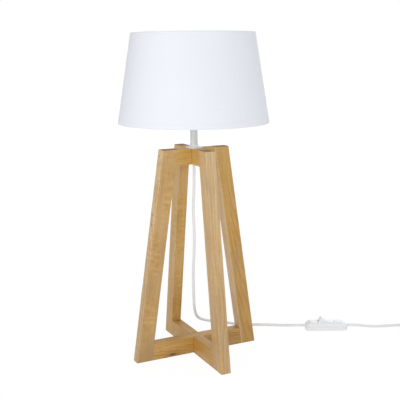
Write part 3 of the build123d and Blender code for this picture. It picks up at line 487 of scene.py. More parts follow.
# Timber: each stick is cut from its own place in the same kind of tree
beech_pale = ((0.385, 0.245, 0.105), (0.555, 0.372, 0.182), (0.710, 0.512, 0.290))
beech_warm = ((0.335, 0.160, 0.024), (0.500, 0.268, 0.050), (0.640, 0.390, 0.110))
beech_line = (0.270, 0.150, 0.060)
beech_fleck = (0.230, 0.120, 0.045)
beech_end = (0.290, 0.180, 0.080)
mark_brown = (0.110, 0.045, 0.016)
ring_spacing = 3.1 * mm
ring_sharpness = 3.0
pore_length = 4.2 * mm
pore_width = 0.75 * mm
pore_depth = 0.06 * mm
joint_line = 0.15 * mm
joint_fade = 0.5 * mm
leg_slope = 59 / 400  # run in for each length up
leg_inside = 96.68 * mm  # from the middle to a leg's inner face at the floor
foot_reach = 127 * mm  # to its outer face
half_stock = 10 * mm


def beech(
    name,
    grain,
    width,
    pith,
    lean,
    warmth,
    lift=0.0,
    rings=0.42,
    stripes=1.0,
    curl=0.2,
    marks=(),
    ends=None,
    sap_and_light=None,
    spacing=ring_spacing,
):
    """Solid beech with its grain along one direction and its wider faces along another.

    pith is how far the lamp's middle lies from the tree's, along width and square to it, and
    lean is how far it leans away for each length along. warmth runs from pale to orange, lift
    makes the whole stick paler, rings and stripes deepen what runs along it, and curl the
    ripple across it. marks are knots as (centre, reach, stretch), ends is the direction of a
    rail between its joints, sap makes one side paler, as (direction inwards, where its face
    lies, depth, strength below and above), and spacing is the growth of a year. The paler side
    is real; its rise from below to above is painted light on faces that the rails and legs shade.
    """
    grain = grain.normalized()
    width = (width - grain * width.dot(grain)).normalized()
    depth = grain.cross(width)
    wood = Finish(name, beech_pale[1], 0.45, coat_roughness=0.28)
    place = wood.place()
    along = wood.along(place, grain)
    wide = wood.along(place, width)
    deep = wood.along(place, depth)

    def streaks(length, thickness, seed, detail=2.0):
        stretched = wood.vector(along / length, wide / thickness + seed, deep / thickness)
        return wood.noise(stretched, 1.0, detail) - 0.5

    drift = streaks(300 * mm, 120 * mm, seed=pith[0] * 700, detail=1.0)
    sway = streaks(90 * mm, 35 * mm, seed=pith[1] * 900)
    from_pith_wide = wide + along * lean[0] + pith[0]
    from_pith_deep = deep + along * lean[1] + pith[1]
    from_pith = (from_pith_wide * from_pith_wide + from_pith_deep * from_pith_deep) ** 0.5
    from_pith = from_pith + drift * 0.016 + sway * 0.005
    wave = wood.maths("SINE", from_pith * (2 * math.pi / spacing))
    ring = (wave * 0.5 + 0.5) ** ring_sharpness
    ring_strength = wood.noise(wood.vector(from_pith * 160, along * 3, 1.0), 1.0, 1.0)
    bands = streaks(130 * mm, 5 * mm, seed=3.0, detail=3.0)
    strands = streaks(35 * mm, 1.6 * mm, seed=5.0)
    fibre = streaks(16 * mm, 0.4 * mm, seed=7.0)
    tone = 0.56 + lift - ring * ring_strength * rings
    tone = tone + bands * (0.95 * stripes) + strands * (0.85 * stripes) + fibre * 0.5
    cloud = streaks(70 * mm, 30 * mm, seed=9.0)
    ripple = streaks(5.5 * mm, 18 * mm, seed=13.0, detail=1.0)
    ripple = ripple * wood.between(cloud + sway, -0.12, 0.15)  # it comes and goes
    height = wood.along(place, upright)
    tone = tone + cloud * 0.7 + ripple * curl + (height - 0.15) * 0.9  # painted light: paler towards the top, darker towards the feet
    warm_share = warmth + sway * 0.9 + cloud * 0.8 + bands * 0.5 - ripple * curl
    if sap_and_light:
        direction, where, reach, below, above = sap_and_light
        inwards = wood.along(place, direction, -where) + bands * 0.008
        sapwood_and_light = 1 - wood.between(inwards, 0.0, reach)
        # Paler towards the top where the strength above is larger: painted light on the tops of
        # inner faces, which the rails and the front leg shade.
        tone = tone + sapwood_and_light * wood.between(height, 0.2, 0.38, below, above)
        warm_share = warm_share - sapwood_and_light * (2 * below)
    pale = wood.ramp(tone, *zip((0.0, 0.5, 1.0), beech_pale))
    warm = wood.ramp(tone, *zip((0.0, 0.5, 1.0), beech_warm))
    colour = wood.mix(warm_share, pale, warm)
    cells = wood.vector(along / pore_length, wide / pore_width, deep / pore_width)
    named = {"vector": cells, "scale": 1.0}
    spot = wood.node("ShaderNodeTexVoronoi", {"feature": "F1"}, output="Distance", **named)
    fleck = (1 - wood.between(spot, 0.12, 0.32)) * wood.between(bands + strands, -0.25, 0.12)
    colour = wood.mix(fleck * 0.6, colour, beech_fleck)
    for centre, reach, stretch in marks:
        squash = (grain[0] ** 2 / stretch, grain[1] ** 2 / stretch, grain[2] ** 2 / stretch)
        squash = Vector(squash) + Vector([1 - share**2 for share in grain])
        settings = {"operation": "MULTIPLY_ADD"}
        offset = -centre * squash
        from_knot = wood.node("ShaderNodeVectorMath", settings, place, squash, offset)
        gap = wood.length(from_knot) + strands * 0.0012
        colour = wood.mix((1 - wood.between(gap, reach, reach * 3)) * 0.35, colour, beech_warm[0])
        colour = wood.mix((1 - wood.between(gap, reach * 0.4, reach)) * 0.9, colour, mark_brown)
    if ends:
        out = abs(wood.along(place, ends))
        to_leg = abs(out + height * leg_slope - leg_inside)
        to_lap = abs(out - half_stock)
        seam = wood.maths("MINIMUM", to_leg, to_lap)
        line = 1 - wood.between(seam, joint_line, joint_fade)
        colour = wood.mix(line * 0.7, colour, beech_line)
    normal = wood.node("ShaderNodeNewGeometry", {}, output="Normal")
    end_grain = wood.between(abs(wood.along(normal, grain)), 0.6, 0.95)
    colour = wood.mix(end_grain * 0.8, colour, beech_end)
    wood.set("Base Color", colour)
    wood.set("Roughness", 0.46 + fibre * 0.3 + fleck * 0.15 + end_grain * 0.25)
    wood.set("Coat Weight", 0.12 - end_grain * 0.12)
    wood.bump(fibre + 0.5 - fleck * 0.5, pore_depth, 0.6)
    return wood.material


def painted_white(name, colour, roughness):
    """Powder coat: a fine soft orange peel."""
    paint = Finish(name, colour, roughness, coat_weight=0.15, coat_roughness=0.25)
    place = paint.place()
    peel = paint.noise(place, 900.0, 2.0)
    cloud = paint.noise(place, 60.0, 2.0)
    shade = tuple(value * 0.96 for value in colour)
    paint.set("Base Color", paint.mix(cloud, shade, colour))
    paint.set("Roughness", roughness + (peel - 0.5) * 0.12)
    paint.bump(peel, 0.03 * mm, 0.5)
    return paint.material


def moulded(name, colour, roughness, grain=1600.0, depth=0.02 * mm):
    """Moulded plastic with a fine spark-eroded grain and slight unevenness."""
    plastic = Finish(name, colour, roughness)
    place = plastic.place()
    fine = plastic.noise(place, grain, 2.0)
    cloud = plastic.noise(place, 70.0, 2.0)
    shade = tuple(value * 0.95 for value in colour)
    plastic.set("Base Color", plastic.mix(cloud, shade, colour))
    plastic.set("Roughness", roughness + (cloud - 0.5) * 0.1)
    plastic.bump(fine, depth, 0.5)
    return plastic.material


def metal(name, colour, roughness, scratch=(300.0, 300.0, 4000.0)):
    """Bare or plated metal with fine drawn lines."""
    plate = Finish(name, colour, roughness, metallic=1.0)
    place = plate.place()
    lines = plate.node("ShaderNodeVectorMath", {"operation": "MULTIPLY"}, place, scratch)
    drawn = plate.noise(lines, 1.0, 2.0)
    cloud = plate.noise(place, 150.0, 2.0)
    dull = tuple(value * 0.8 for value in colour)
    plate.set("Base Color", plate.mix(cloud, dull, colour))
    plate.set("Roughness", roughness + (drawn - 0.5) * 0.25)
    plate.bump(drawn, 0.01 * mm, 0.4)
    return plate.material


thread_pitch = 0.42 * mm


def woven(name, colour):
    """White plain-weave cotton. The UV map is in metres, round the shade and up it."""
    cloth = Finish(name, colour, 0.85, sheen_weight=0.15, sheen_roughness=0.5)
    cloth.set("Specular IOR Level", 0.25)
    uv = cloth.node("ShaderNodeTexCoord", {}, output="UV")
    round_it = cloth.node("ShaderNodeSeparateXYZ", {}, uv, output="X")
    up_it = cloth.node("ShaderNodeSeparateXYZ", {}, uv, output="Y")
    wave = 2 * math.pi / thread_pitch
    warp = cloth.maths("SINE", round_it * wave)
    weft = cloth.maths("SINE", up_it * wave)
    weave = warp * weft * 0.5 + 0.5
    warp_slub = cloth.noise(cloth.vector(round_it * 1400, up_it * 18, 0.0), 1.0, 2.0)
    weft_slub = cloth.noise(cloth.vector(round_it * 18, up_it * 1400, 3.0), 1.0, 2.0)
    slub = warp_slub * 0.5 + weft_slub * 0.5
    cloud = cloth.noise(cloth.vector(round_it * 14, up_it * 10, 5.0), 1.0, 2.0)
    tone = 0.35 + (slub - 0.5) * 1.6 + (weave - 0.5) * 0.5 + (cloud - 0.5) * 0.5
    shade = tuple(value * 0.93 for value in colour)
    cloth.set("Base Color", cloth.mix(tone, shade, colour))
    cloth.bump(weave * 0.6 + slub * 0.4, 0.08 * mm, 0.35)
    return cloth.material


left_leg_pins = [
    (Vector((-0.0697, 0.0030, 0.3886)), 1.5 * mm, 1.4),
    (Vector((-0.0815, -0.0023, 0.3085)), 1.3 * mm, 1.4),
    (Vector((-0.0857, 0.0011, 0.2801)), 1.7 * mm, 1.4),
    (Vector((-0.0884, 0.0003, 0.2616)), 1.7 * mm, 1.4),
]
left_rail_knots = [
    (Vector((-0.0541, -0.0100, 0.0052)), 3.4 * mm, 2.6),
    (Vector((-0.0684, -0.0100, 0.0005)), 1.8 * mm, 2.4),
]
rear_rail_knots = [
    (Vector((0.0011, 0.0850, 0.0330)), 2.0 * mm, 1.8),
    (Vector((0.0060, 0.0955, 0.0330)), 1.3 * mm, 1.8),
]
# The legs' pale sides are real, but their rise towards the top, and most of the strength on the
# right leg's inner face, is painted light where the rails and the front leg shade.
left_leg_sap_and_light = (along_x - upright * leg_slope, -foot_reach, 5 * mm, 0.07, 0.22)
right_leg_sap_and_light = (along_x + upright * leg_slope, leg_inside, 6 * mm, 0.42, 0.60)
front_leg_sap_and_light = (-along_x, -half_stock, 12 * mm, 0.03, 0.12)
left_rail_sap = (along_x, -foot_reach, 90 * mm, 0.09, 0.09)

sticks = {
    "leg_left": dict(
        grain=upright + along_x * leg_slope, width=along_x,
        pith=(0.030, 0.044), lean=(0.02, -0.10), warmth=0.50,
        rings=0.60, stripes=0.55, curl=0.68,
        marks=left_leg_pins, sap_and_light=left_leg_sap_and_light,
    ),
    "leg_right": dict(
        grain=upright - along_x * leg_slope, width=along_x,
        pith=(-0.128, 0.050), lean=(0.0, -0.085), warmth=0.85,
        lift=0.04, rings=0.38, stripes=0.85,
        sap_and_light=right_leg_sap_and_light, spacing=4.6 * mm,
    ),
    "leg_front": dict(
        grain=upright + along_y * leg_slope, width=along_y,
        pith=(0.090, 0.017), lean=(-0.01, 0.02), warmth=0.20,
        sap_and_light=front_leg_sap_and_light,
    ),
    # The rear leg's lift is partly its own paler wood and partly painted light on faces that the
    # front leg and the rails shade.
    "leg_rear": dict(
        grain=upright - along_y * leg_slope, width=along_y,
        pith=(-0.035, 0.045), lean=(0.03, -0.04), warmth=0.85,
        lift=0.28, stripes=0.8, curl=0.75,
    ),
    "top_rail_x": dict(
        grain=along_x, width=upright,
        pith=(-0.430, 0.030), lean=(0.04, 0.02), warmth=1.05,
        lift=0.13, ends=along_x,
    ),
    "top_rail_y": dict(
        grain=along_y, width=upright,
        pith=(-0.340, 0.055), lean=(-0.05, 0.02), warmth=1.05,
        lift=0.10, ends=along_y,
    ),
    "bottom_rail_x": dict(
        grain=along_x, width=upright,
        pith=(0.020, 0.038), lean=(0.06, 0.03), warmth=0.85,
        lift=0.07, ends=along_x,
        marks=left_rail_knots, sap_and_light=left_rail_sap,
    ),
    "bottom_rail_y": dict(
        grain=along_y, width=upright,
        pith=(0.032, 0.030), lean=(-0.04, 0.05), warmth=1.40,
        lift=0.13, ends=along_y,
        marks=rear_rail_knots,
    ),
    "rail_dowels": dict(
        grain=along_x, width=along_y, pith=(0.020, 0.020), lean=(0.0, 0.0), warmth=0.1
    ),
}

white_cloth = woven("white_cloth", (0.87, 0.89, 0.93))
white_paint = painted_white("white_paint", (0.715, 0.73, 0.715), 0.38)
# Paler than the tube's white, though it is the same coat: painted light on the flange under the
# shade.
flange_lit_paint = painted_white("flange_lit_paint", (0.88, 0.885, 0.865), 0.32)
white_backing = moulded("white_backing", (0.86, 0.86, 0.85), 0.5)
holder_white = moulded("holder_white", (0.83, 0.83, 0.81), 0.4)
insert_cream = moulded("insert_cream", (0.76, 0.73, 0.64), 0.5)
cord_white = moulded("cord_white", (0.90, 0.90, 0.90), 0.36, grain=900.0)
switch_white = moulded("switch_white", (0.94, 0.945, 0.955), 0.34)
rocker_white = moulded("rocker_white", (0.94, 0.945, 0.955), 0.28)
plug_white = moulded("plug_white", (0.84, 0.84, 0.83), 0.48)
tie_white = moulded("tie_white", (0.80, 0.80, 0.79), 0.45)
sleeve_dark = moulded("sleeve_dark", (0.05, 0.05, 0.055), 0.45)
lead_brown = moulded("lead_brown", (0.20, 0.10, 0.06), 0.45)
insulator_black = moulded("insulator_black", (0.02, 0.02, 0.025), 0.15)
globe_opal = moulded("globe_opal", (0.90, 0.90, 0.87), 0.32, grain=2600.0, depth=0.008 * mm)
housing_white = moulded("housing_white", (0.85, 0.85, 0.84), 0.35)
zinc = metal("zinc", (0.62, 0.63, 0.64), 0.34)
nickel = metal("nickel", (0.74, 0.72, 0.67), 0.22)
brass = metal("brass", (0.74, 0.56, 0.27), 0.3)
board_metal = metal("board_metal", (0.75, 0.76, 0.77), 0.4)

# What the model's own solids are finished with, where no made piece stands for them
finishes = [
    (holder_white, ["cord_bush", "holder_cap", "holder_skirt", "shade_ring"]),
    (insert_cream, ["holder_insert"]),
    (white_backing, ["shade_liner"]),
    (white_paint, ["shade_spokes", "fitter_plate", "top_wire_ring", "bottom_wire_ring"]),
    (zinc, ["threaded_rod", "rod_washer", "rod_nut"]),
    (zinc, ["clamp_screws", "housing_screws", "terminal_screws"]),
    (nickel, ["screw_shell", "bulb_cap", "plug_pins"]),
    (brass, ["centre_contact", "side_contact", "holder_terminals", "bulb_tip"]),
    (brass, ["terminal_blocks", "contact_blade", "fixed_contact"]),
    (insulator_black, ["bulb_insulator"]),
    (board_metal, ["led_board"]),
    (lead_brown, ["holder_leads", "switch_leads"]),
    (switch_white, ["cord_clamps"]),
    (cord_white, ["column_cord"]),
    (tie_white, ["coil_tie"]),
    (sleeve_dark, ["pin_sleeves"]),
]
finishes += [(beech(f"beech_{stick}", **cut), [stick]) for stick, cut in sticks.items()]
for material, nodes in finishes:
    for node in nodes:
        for material_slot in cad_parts[node].material_slots:
            material_slot.material = material


# Column tube and its flange, a thin disc with a cove up to the tube
flange_bore = 5.2 * mm
disc_thickness = 1.9 * mm
tube_seat = 2.5 * mm
tube_clearance = 0.05 * mm
tube_wall = 1 * mm


def make_flange():
    low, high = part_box("flange_cap")
    rim = high.x
    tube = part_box("column_tube")[1].x
    outline = rounded(
        [
            (flange_bore, low.z, 0),
            (rim, low.z, 0.2 * mm),
            (rim, low.z + disc_thickness, 0.7 * mm),
            (tube + 1.5 * mm, low.z + 3.0 * mm, 4.0 * mm),
            (tube + 0.9 * mm, high.z, 0.5 * mm),
            (tube + tube_clearance, high.z, 0.2 * mm),
            (tube + tube_clearance, low.z + tube_seat, 0),
            (flange_bore, low.z + tube_seat, 0),
        ]
    )
    shape = turned(outline)
    new_piece("column_flange", shape, flange_lit_paint, "root", "white_metal", "flange_cap")


def make_tube():
    low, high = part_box("column_tube")
    outer = high.x
    inner = outer - tube_wall
    outline = rounded(
        [
            (inner, low.z, 0.3 * mm),
            (outer, low.z, 0.3 * mm),
            (outer, high.z, 0.4 * mm),
            (inner, high.z, 0.3 * mm),
        ]
    )
    shape = turned(outline)
    new_piece("column_pipe", shape, white_paint, "root", "white_metal", "column_tube")


make_flange()
make_tube()


# Shade: a fabric cone with folded hems at both edges and a glued seam at the back
shade_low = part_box("bottom_hem")[0].z
shade_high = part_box("top_hem")[1].z
shade_low_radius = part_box("bottom_hem")[1].x
shade_high_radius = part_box("top_hem")[1].x
cloth_offset = 0.25 * mm  # behind the hem's face
cloth_thickness = 0.6 * mm
cloth_edge = 0.6 * mm
hem_thickness = 0.5 * mm
hem_width = 9 * mm
hem_inside = 5.3 * mm
hem_roll = 3.9 * mm
seam_angle = math.radians(64)  # on the side away from the camera
seam_width = 12 * mm
seam_height = 0.35 * mm
seam_edge = 1.2 * mm
cloth_unevenness = 0.12 * mm
hem_unevenness = 0.1 * mm


def shade_radius(height):
    share = (height - shade_low) / (shade_high - shade_low)
    return shade_low_radius + (shade_high_radius - shade_low_radius) * share


def cloth_wave(angle, height):
    """Stretched cloth is never quite true: it stands out by less than its own thickness."""
    spot = Vector((math.cos(angle) * 1.6, math.sin(angle) * 1.6, height * 9))
    return cloth_unevenness * noise.noise(spot)


def seam_step(angle):
    """The overlap of the cloth, as a step with soft edges."""
    away = abs(math.remainder(angle - seam_angle, 2 * math.pi)) * shade_low_radius
    share = min(max((seam_width / 2 - away) / seam_edge, 0), 1)
    return seam_height * share * share * (3 - 2 * share)


def unroll(shape):
    """Lays the weave on, in metres round the shade and up it."""
    uv = shape.loops.layers.uv.new("weave")
    for face in shape.faces:
        angles = [math.atan2(loop.vert.co.y, loop.vert.co.x) for loop in face.loops]
        crosses = max(angles) - min(angles) > math.pi
        for loop, angle in zip(face.loops, angles):
            if crosses and angle < 0:
                angle += 2 * math.pi
            loop[uv].uv = (angle * shade_high_radius, loop.vert.co.z)


def make_cloth():
    segments, rows = 360, 28
    low, high = shade_low + cloth_edge, shade_high - cloth_edge
    shape = bmesh.new()
    grid = []
    for row in range(rows + 1):
        height = low + (high - low) * row / rows
        ring = []
        for segment in range(segments):
            angle = 2 * math.pi * segment / segments
            radius = shade_radius(height) - cloth_offset - cloth_thickness / 2
            radius += cloth_wave(angle, height) + seam_step(angle) * 0.6
            place = (radius * math.cos(angle), radius * math.sin(angle), height)
            ring.append(shape.verts.new(place))
        grid.append(ring)
    join_rings(shape, grid)
    unroll(shape)
    piece = new_piece("shade_cloth", shape, white_cloth, "shade", "shade_cloth", "shade_fabric")
    skin = piece.modifiers.new("thickness", "SOLIDIFY")
    skin.thickness = cloth_thickness
    skin.offset = 0
    return piece


def make_hem(name, edge, inwards, node):
    """Cloth folded over the edge and the wire inside it."""

    def at(offset, height, radius=0):
        level = edge + inwards * height
        return (shade_radius(level) - offset, level, radius)

    thick = hem_thickness
    outline = rounded(
        [
            at(0.02 * mm, 0, 1.6 * mm),
            at(0.02 * mm, hem_width, 0.15 * mm),
            at(thick, hem_width, 0.1 * mm),
            at(thick, thick, 1.2 * mm),
            at(hem_inside, thick, 1.2 * mm),
            at(hem_inside, hem_roll, 1.0 * mm),
            at(2.1 * mm, hem_roll + 2 * mm, 0.8 * mm),
            at(2.1 * mm, hem_width, 0.1 * mm),
            at(2.6 * mm, hem_width, 0.15 * mm),
            at(2.6 * mm, hem_roll + 2.2 * mm, 0.8 * mm),
            at(hem_inside + thick, hem_roll + 0.3 * mm, 1.2 * mm),
            at(hem_inside + thick, 0, 1.6 * mm),
        ],
        steps=4,
    )

    def ripple(angle, height):
        spot = Vector((math.cos(angle) * 9, math.sin(angle) * 9, height * 300))
        return hem_unevenness * (noise.noise(spot) - 0.5) + seam_step(angle) * 0.7

    shape = turned(outline, segments=240, ripple=ripple)
    unroll(shape)
    return new_piece(name, shape, white_cloth, "shade", "shade_cloth", node, smooth_below=50)


cloth = make_cloth()
lower_band = make_hem("lower_band", shade_low, 1, "bottom_hem")
upper_band = make_hem("upper_band", shade_high, -1, "top_hem")


# Bulb
globe_wall = 1.2 * mm
globe_segments = 72
housing_collar = 11.6 * mm  # radius of what the cap grips
housing_collar_length = 3 * mm


def make_globe():
    low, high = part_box("bulb_globe")
    middle = high.z - high.x
    radius = high.x
    edge = math.asin((low.z - middle) / radius)
    outline = []
    steps = 40
    for step in range(steps + 1):
        angle = edge + (math.pi / 2 - edge) * step / steps
        outline.append((radius * math.cos(angle), middle + radius * math.sin(angle)))
    for step in range(steps, -1, -1):
        angle = edge + (math.pi / 2 - edge) * step / steps
        inner = radius - globe_wall
        outline.append((inner * math.cos(angle), middle + inner * math.sin(angle)))
    shape = turned(outline, globe_segments)
    new_piece("opal_globe", shape, globe_opal, "bulb", "opal", "bulb_globe")


def make_housing():
    low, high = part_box("bulb_housing")
    foot = low.z + housing_collar_length
    outline = rounded(
        [
            (0, low.z, 0),
            (housing_collar, low.z, 0),
            (housing_collar, foot, 0),
            (14.2 * mm, foot, 0.6 * mm),
            (15.7 * mm, foot + 10.3 * mm, 8 * mm),
            (high.x, high.z, 0.3 * mm),
            (high.x - 2.1 * mm, high.z, 0),
            (high.x - 4.1 * mm, high.z - 2 * mm, 0),
            (0, high.z - 2 * mm, 0),
        ]
    )
    shape = turned(outline, globe_segments)
    new_piece("globe_housing", shape, housing_white, "bulb", "bulb_plastic", "bulb_housing")


make_globe()
make_housing()


# Inline switch
switch_place = directions(heading, back, upright, switch_middle)
switch_half_length = switch_length / 2
switch_half_width = 12.5 * mm
switch_height = 17 * mm
switch_corner = 9 * mm
switch_wall = 1.8 * mm
well_half_length = 17.4 * mm
well_half_width = 7.9 * mm
top_edge = 3.6 * mm
bottom_edge = 1.2 * mm
parting_gap = 0.15 * mm
joint_chamfer = 0.3 * mm
inside_roof = switch_height - 2 * mm
nose_length = 11 * mm  # the lid slopes down to each end over this length
nose_drop = 5 * mm
nose_ridge = 8 * mm
switch_side = (switch_half_length, switch_half_width, switch_corner)
chamfered_side = tuple(size - joint_chamfer for size in switch_side)
switch_inside = tuple(size - switch_wall for size in switch_side)
well = (well_half_length, well_half_width, 1.2 * mm)
well_lip = tuple(size + 0.5 * mm for size in well)
lid_rings_mm = (39, 37, 35.5, 34.5, 33.7, 32.9, 32.1, 31.3, 30, 24)  # closest where it turns down


def switch_top(along):
    """The height of the lid's outside at a place along it."""
    slope = nose_drop / nose_length
    start = switch_half_length - nose_length - nose_ridge * math.tan(math.atan(slope) / 2)
    past = abs(along) - start
    turn_end = nose_ridge * math.sin(math.atan(slope))
    if past <= 0:
        return switch_height
    if past < turn_end:
        return switch_height - past**2 / (2 * nose_ridge)
    return switch_height - turn_end**2 / (2 * nose_ridge) - (past - turn_end) * slope


def slope_ends(shape):
    """Lowers what lies above the joint line towards both ends of the switch."""
    away = switch_place.inverted()
    for point in shape.verts:
        here = away @ point.co
        share = (switch_top(here.x) - switch_line) / (switch_height - switch_line)
        if here.z > switch_line:
            here.z = switch_line + (here.z - switch_line) * share
            point.co = switch_place @ here


def edge_levels(radius, height, upwards, steps=6):
    """Levels that round off the switch's edge, from its side to its flat face."""
    levels = []
    for step in range(steps + 1):
        angle = math.pi / 2 * step / steps
        inset = radius * (1 - math.cos(angle))
        corner = max(switch_corner - inset, 0.5 * mm)
        level = height - upwards * radius * (1 - math.sin(angle))
        levels.append((switch_half_length - inset, switch_half_width - inset, corner, level))
    return levels


def make_switch_base():
    top = switch_line - parting_gap
    levels = edge_levels(bottom_edge, 0, -1)[::-1]
    levels += [(*switch_side, top - joint_chamfer), (*chamfered_side, top)]
    levels += [(*switch_inside, top), (*switch_inside, switch_wall)]
    shape = stacked(levels, switch_place, caps=True)
    return new_piece("switch_tray", shape, switch_white, "root", "switch_plastic", "switch_base")


def make_switch_cover():
    levels = [(*chamfered_side, switch_line), (*switch_side, switch_line + joint_chamfer)]
    levels += edge_levels(top_edge, switch_height, 1)
    flat = [size - top_edge for size in switch_side]
    for half_length in lid_rings_mm:
        share = (half_length * mm - well_lip[0]) / (flat[0] - well_lip[0])
        half_width = well_lip[1] + (flat[1] - well_lip[1]) * share
        corner = well_lip[2] + (flat[2] - well_lip[2]) * share
        levels.append((half_length * mm, half_width, corner, switch_height))
    levels += [
        (*well_lip, switch_height),
        (*well, switch_height - 0.5 * mm),
        (*well, inside_roof),
        (*switch_inside, inside_roof),
        (*switch_inside, switch_line),
    ]
    shape = stacked(levels, switch_place, closed=True)
    slope_ends(shape)
    return new_piece("switch_lid", shape, switch_white, "root", "switch_plastic", "switch_cover")


rocker_half_length = 14 * mm
rocker_half_width = 7.5 * mm
rocker_slope = math.radians(15)
rocker_crown = 6.2 * mm
rocker_skirt = 1.5 * mm
pivot_height = 12.5 * mm
nose_half_width = 1.6 * mm
nose_depth = 6 * mm


def make_rocker():
    """The rocker's outline, seen from its side, is drawn level and tipped about its pivot."""
    end_height = rocker_crown + rocker_half_length * math.tan(rocker_slope)
    swing = math.hypot(rocker_half_length, end_height)
    start = math.atan2(end_height, rocker_half_length)
    finish_angle = -math.asin(rocker_skirt / swing)
    outline = []
    steps = 10
    for step in range(steps + 1):
        angle = start + (finish_angle - start) * step / steps
        outline.append((swing * math.cos(angle), swing * math.sin(angle)))
    outline.append((nose_half_width, -rocker_skirt))
    outline.append((nose_half_width / 2, -nose_depth))
    outline.append((-nose_half_width / 2, -nose_depth))
    outline.append((-nose_half_width, -rocker_skirt))
    for step in range(steps, -1, -1):
        angle = start + (finish_angle - start) * step / steps
        outline.append((-swing * math.cos(angle), swing * math.sin(angle)))
    hollow_steps = 12
    for step in range(1, hollow_steps):
        share = -1 + 2 * step / hollow_steps
        sag = abs(share) * (end_height - rocker_crown)
        soft = 0.25 * mm * (1 - share * share)
        outline.append((share * rocker_half_length, rocker_crown + sag + soft))
    tip = Matrix.Rotation(rocker_slope, 4, "Y")
    place = switch_place @ Matrix.Translation((0, 0, pivot_height)) @ tip
    shape = bmesh.new()
    sides = []
    for y in (-rocker_half_width, rocker_half_width):
        sides.append([shape.verts.new(place @ Vector((x, y, z))) for x, z in outline])
    join_rings(shape, sides, caps=True)
    slot = "switch_plastic"
    piece = new_piece("switch_key", shape, rocker_white, "rocker", slot, "switch_rocker")
    edge = piece.modifiers.new("edge", "BEVEL")
    edge.width = 0.6 * mm
    edge.segments = 3
    edge.limit_method = "ANGLE"
    edge.angle_limit = math.radians(40)
    return piece


tray = make_switch_base()
lid = make_switch_cover()
key = make_rocker()


# Plug and its strain relief
relief_length = 25 * mm
plug_length = 37 * mm
plug_axis = -back
plug_start = in_plug(plug_lead + relief_length, plug_line)
plug_place = directions(heading, upright, plug_axis, plug_start)
plug_widths = [  # share of its length, and half its width there in mm
    (0.0, 7.0),
    (0.12, 9.0),
    (0.3, 14.5),
    (0.42, 17.2),
    (0.57, 17.5),
    (0.72, 17.2),
    (0.86, 15.4),
    (1.0, 13.5),
]
plug_edge = 2.4 * mm
groove_start, groove_length = 0.36, 0.42  # shares of the plug's length
groove_depth = 0.7 * mm
grooves_per_plug = 15
relief_tip = 3.9 * mm
relief_root = 5.2 * mm
relief_ribs = 5
rib_height = 0.8 * mm


def plug_half_width(share):
    """Half the body's width at a share of its length, with finger grooves where it is widest."""
    for (start, narrow), (end, wide) in zip(plug_widths, plug_widths[1:]):
        if start <= share <= end:
            part = (share - start) / (end - start)
            part = part * part * (3 - 2 * part)
            width = (narrow + (wide - narrow) * part) * mm
            break
    groove = math.sin(math.pi * min(max((share - groove_start) / groove_length, 0), 1))
    ribs = 0.5 - 0.5 * math.cos(2 * math.pi * share * grooves_per_plug)
    return width - groove_depth * groove * ribs


def make_plug():
    steps = 60
    levels = []
    for step in range(steps + 1):
        share = step / steps
        near_end = min(share, 1 - share) * plug_length
        ease = max(0, 1 - near_end / plug_edge)
        inset = plug_edge * (1 - math.sqrt(max(0, 1 - ease * ease))) * 0.8
        half_width = plug_half_width(share) - inset
        corner = 2.6 * mm - inset * 0.5
        levels.append((half_width, plug_half_height - inset, corner, share * plug_length))
    shape = stacked(levels, plug_place, caps=True)
    slot = "plug_plastic"
    return new_piece("plug_shell", shape, plug_white, "root", slot, "plug_body", smooth_below=50)


def make_relief():
    """A tapered sleeve with ribs, thinner where the cord enters."""
    pitch = relief_length / relief_ribs
    widening = (relief_root - relief_tip) / relief_ribs
    corners = [(cord_radius, 0, 0), (relief_tip, 0, 0.4 * mm)]
    for rib in range(relief_ribs):
        start = rib * pitch
        radius = relief_tip + widening * (rib + 0.5)
        corners.append((radius, start + pitch * 0.58, 0.35 * mm))
        corners.append((radius - rib_height, start + pitch * 0.66, 0.25 * mm))
        corners.append((radius - rib_height, start + pitch * 0.9, 0.25 * mm))
        corners.append((radius + widening, start + pitch, 0.35 * mm))
    corners.append((cord_radius, relief_length + 0.2 * mm, 0))
    place = directions(heading, upright, plug_axis, in_plug(plug_lead, plug_line))
    shape = turned(rounded(corners, steps=3), 40, place=place)
    return new_piece("plug_sleeve", shape, plug_white, "root", "plug_plastic", "plug_relief")


plug = make_plug()
relief = make_relief()

switch_cord.data.materials.append(cord_white)
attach(switch_cord, "root")
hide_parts("cord_to_switch")
plug_cord.data.materials.append(cord_white)
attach(plug_cord, "root")
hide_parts("cord_from_switch", "cord_coil", "cord_to_plug")


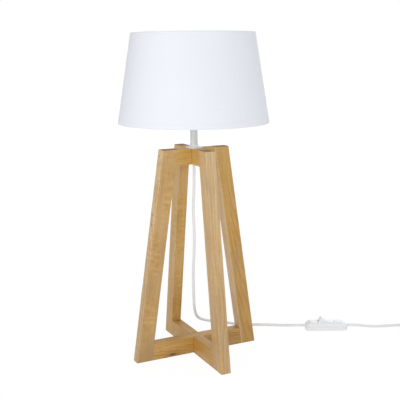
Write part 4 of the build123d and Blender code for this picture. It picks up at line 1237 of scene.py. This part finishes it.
# Floor, world and lamps
floor_size = 40.0
floor_glow = 0.92  # near the lamp, so that its shadow stays
floor_strength = 1.03
floor_near = 0.5
floor_far = 1.6
floor_paper = (0.9, 0.9, 0.9)
room_tint = (0.975, 0.99, 1.03)
ambient = 0.50
lamps = [  # name, place, what it points at, side length and power
    ("front", (-0.95, -1.50, 0.65), (0, 0, 0.38), 1.0, 11.5),
    ("side", (-1.80, -0.35, 0.40), (0, 0, 0.25), 1.2, 6.0),
    ("fill", (1.90, -0.90, 0.70), (0.1, 0, 0.30), 1.2, 8.0),
    ("rear", (1.80, 1.60, 0.90), (0, 0, 0.30), 1.4, 8.0),
    ("top", (0, 0, 3.0), (0, 0, 0), 2.2, 4),
]


def make_floor():
    shape = bmesh.new()
    half = floor_size / 2
    corners = [(-half, -half), (half, -half), (half, half), (-half, half)]
    shape.faces.new([shape.verts.new((x, y, -0.2 * mm)) for x, y in corners])
    data = bpy.data.meshes.new("floor")
    shape.to_mesh(data)
    shape.free()
    floor = add_object("floor", data)
    material = bpy.data.materials.new("floor_white")
    material.use_nodes = True
    white = Shading(material.node_tree)
    paper = white.node("ShaderNodeBsdfDiffuse", {}, floor_paper)
    glow = white.node("ShaderNodeEmission", {}, (1, 1, 1), floor_strength)
    away = white.length(white.place())
    share = white.shown_ray() * white.between(away, floor_near, floor_far, floor_glow)
    mixed = white.node("ShaderNodeMixShader", {}, share, paper, glow)
    white.put(material.node_tree.nodes["Material Output"].inputs[0], mixed)
    data.materials.append(material)


def make_world():
    world = bpy.data.worlds.new("studio")
    world.use_nodes = True
    bpy.context.scene.world = world
    room = Shading(world.node_tree)
    light = room.node("ShaderNodeBackground", {}, room_tint, ambient)
    white = room.node("ShaderNodeBackground", {}, (1, 1, 1), 1.0)
    mixed = room.node("ShaderNodeMixShader", {}, room.shown_ray(), light, white)
    room.put(world.node_tree.nodes["World Output"].inputs[0], mixed)


def make_lamp(name, place, target, size, power):
    data = bpy.data.lights.new(name, "AREA")
    data.shape = "SQUARE"
    data.size = size
    data.energy = power
    lamp = add_object(name, data)
    lamp.location = place
    lamp.rotation_mode = "QUATERNION"
    lamp.rotation_quaternion = (Vector(target) - Vector(place)).to_track_quat("-Z", "Y")


make_floor()
make_world()
for lamp in lamps:
    make_lamp(*lamp)

bpy.context.scene.view_settings.view_transform = "Standard"
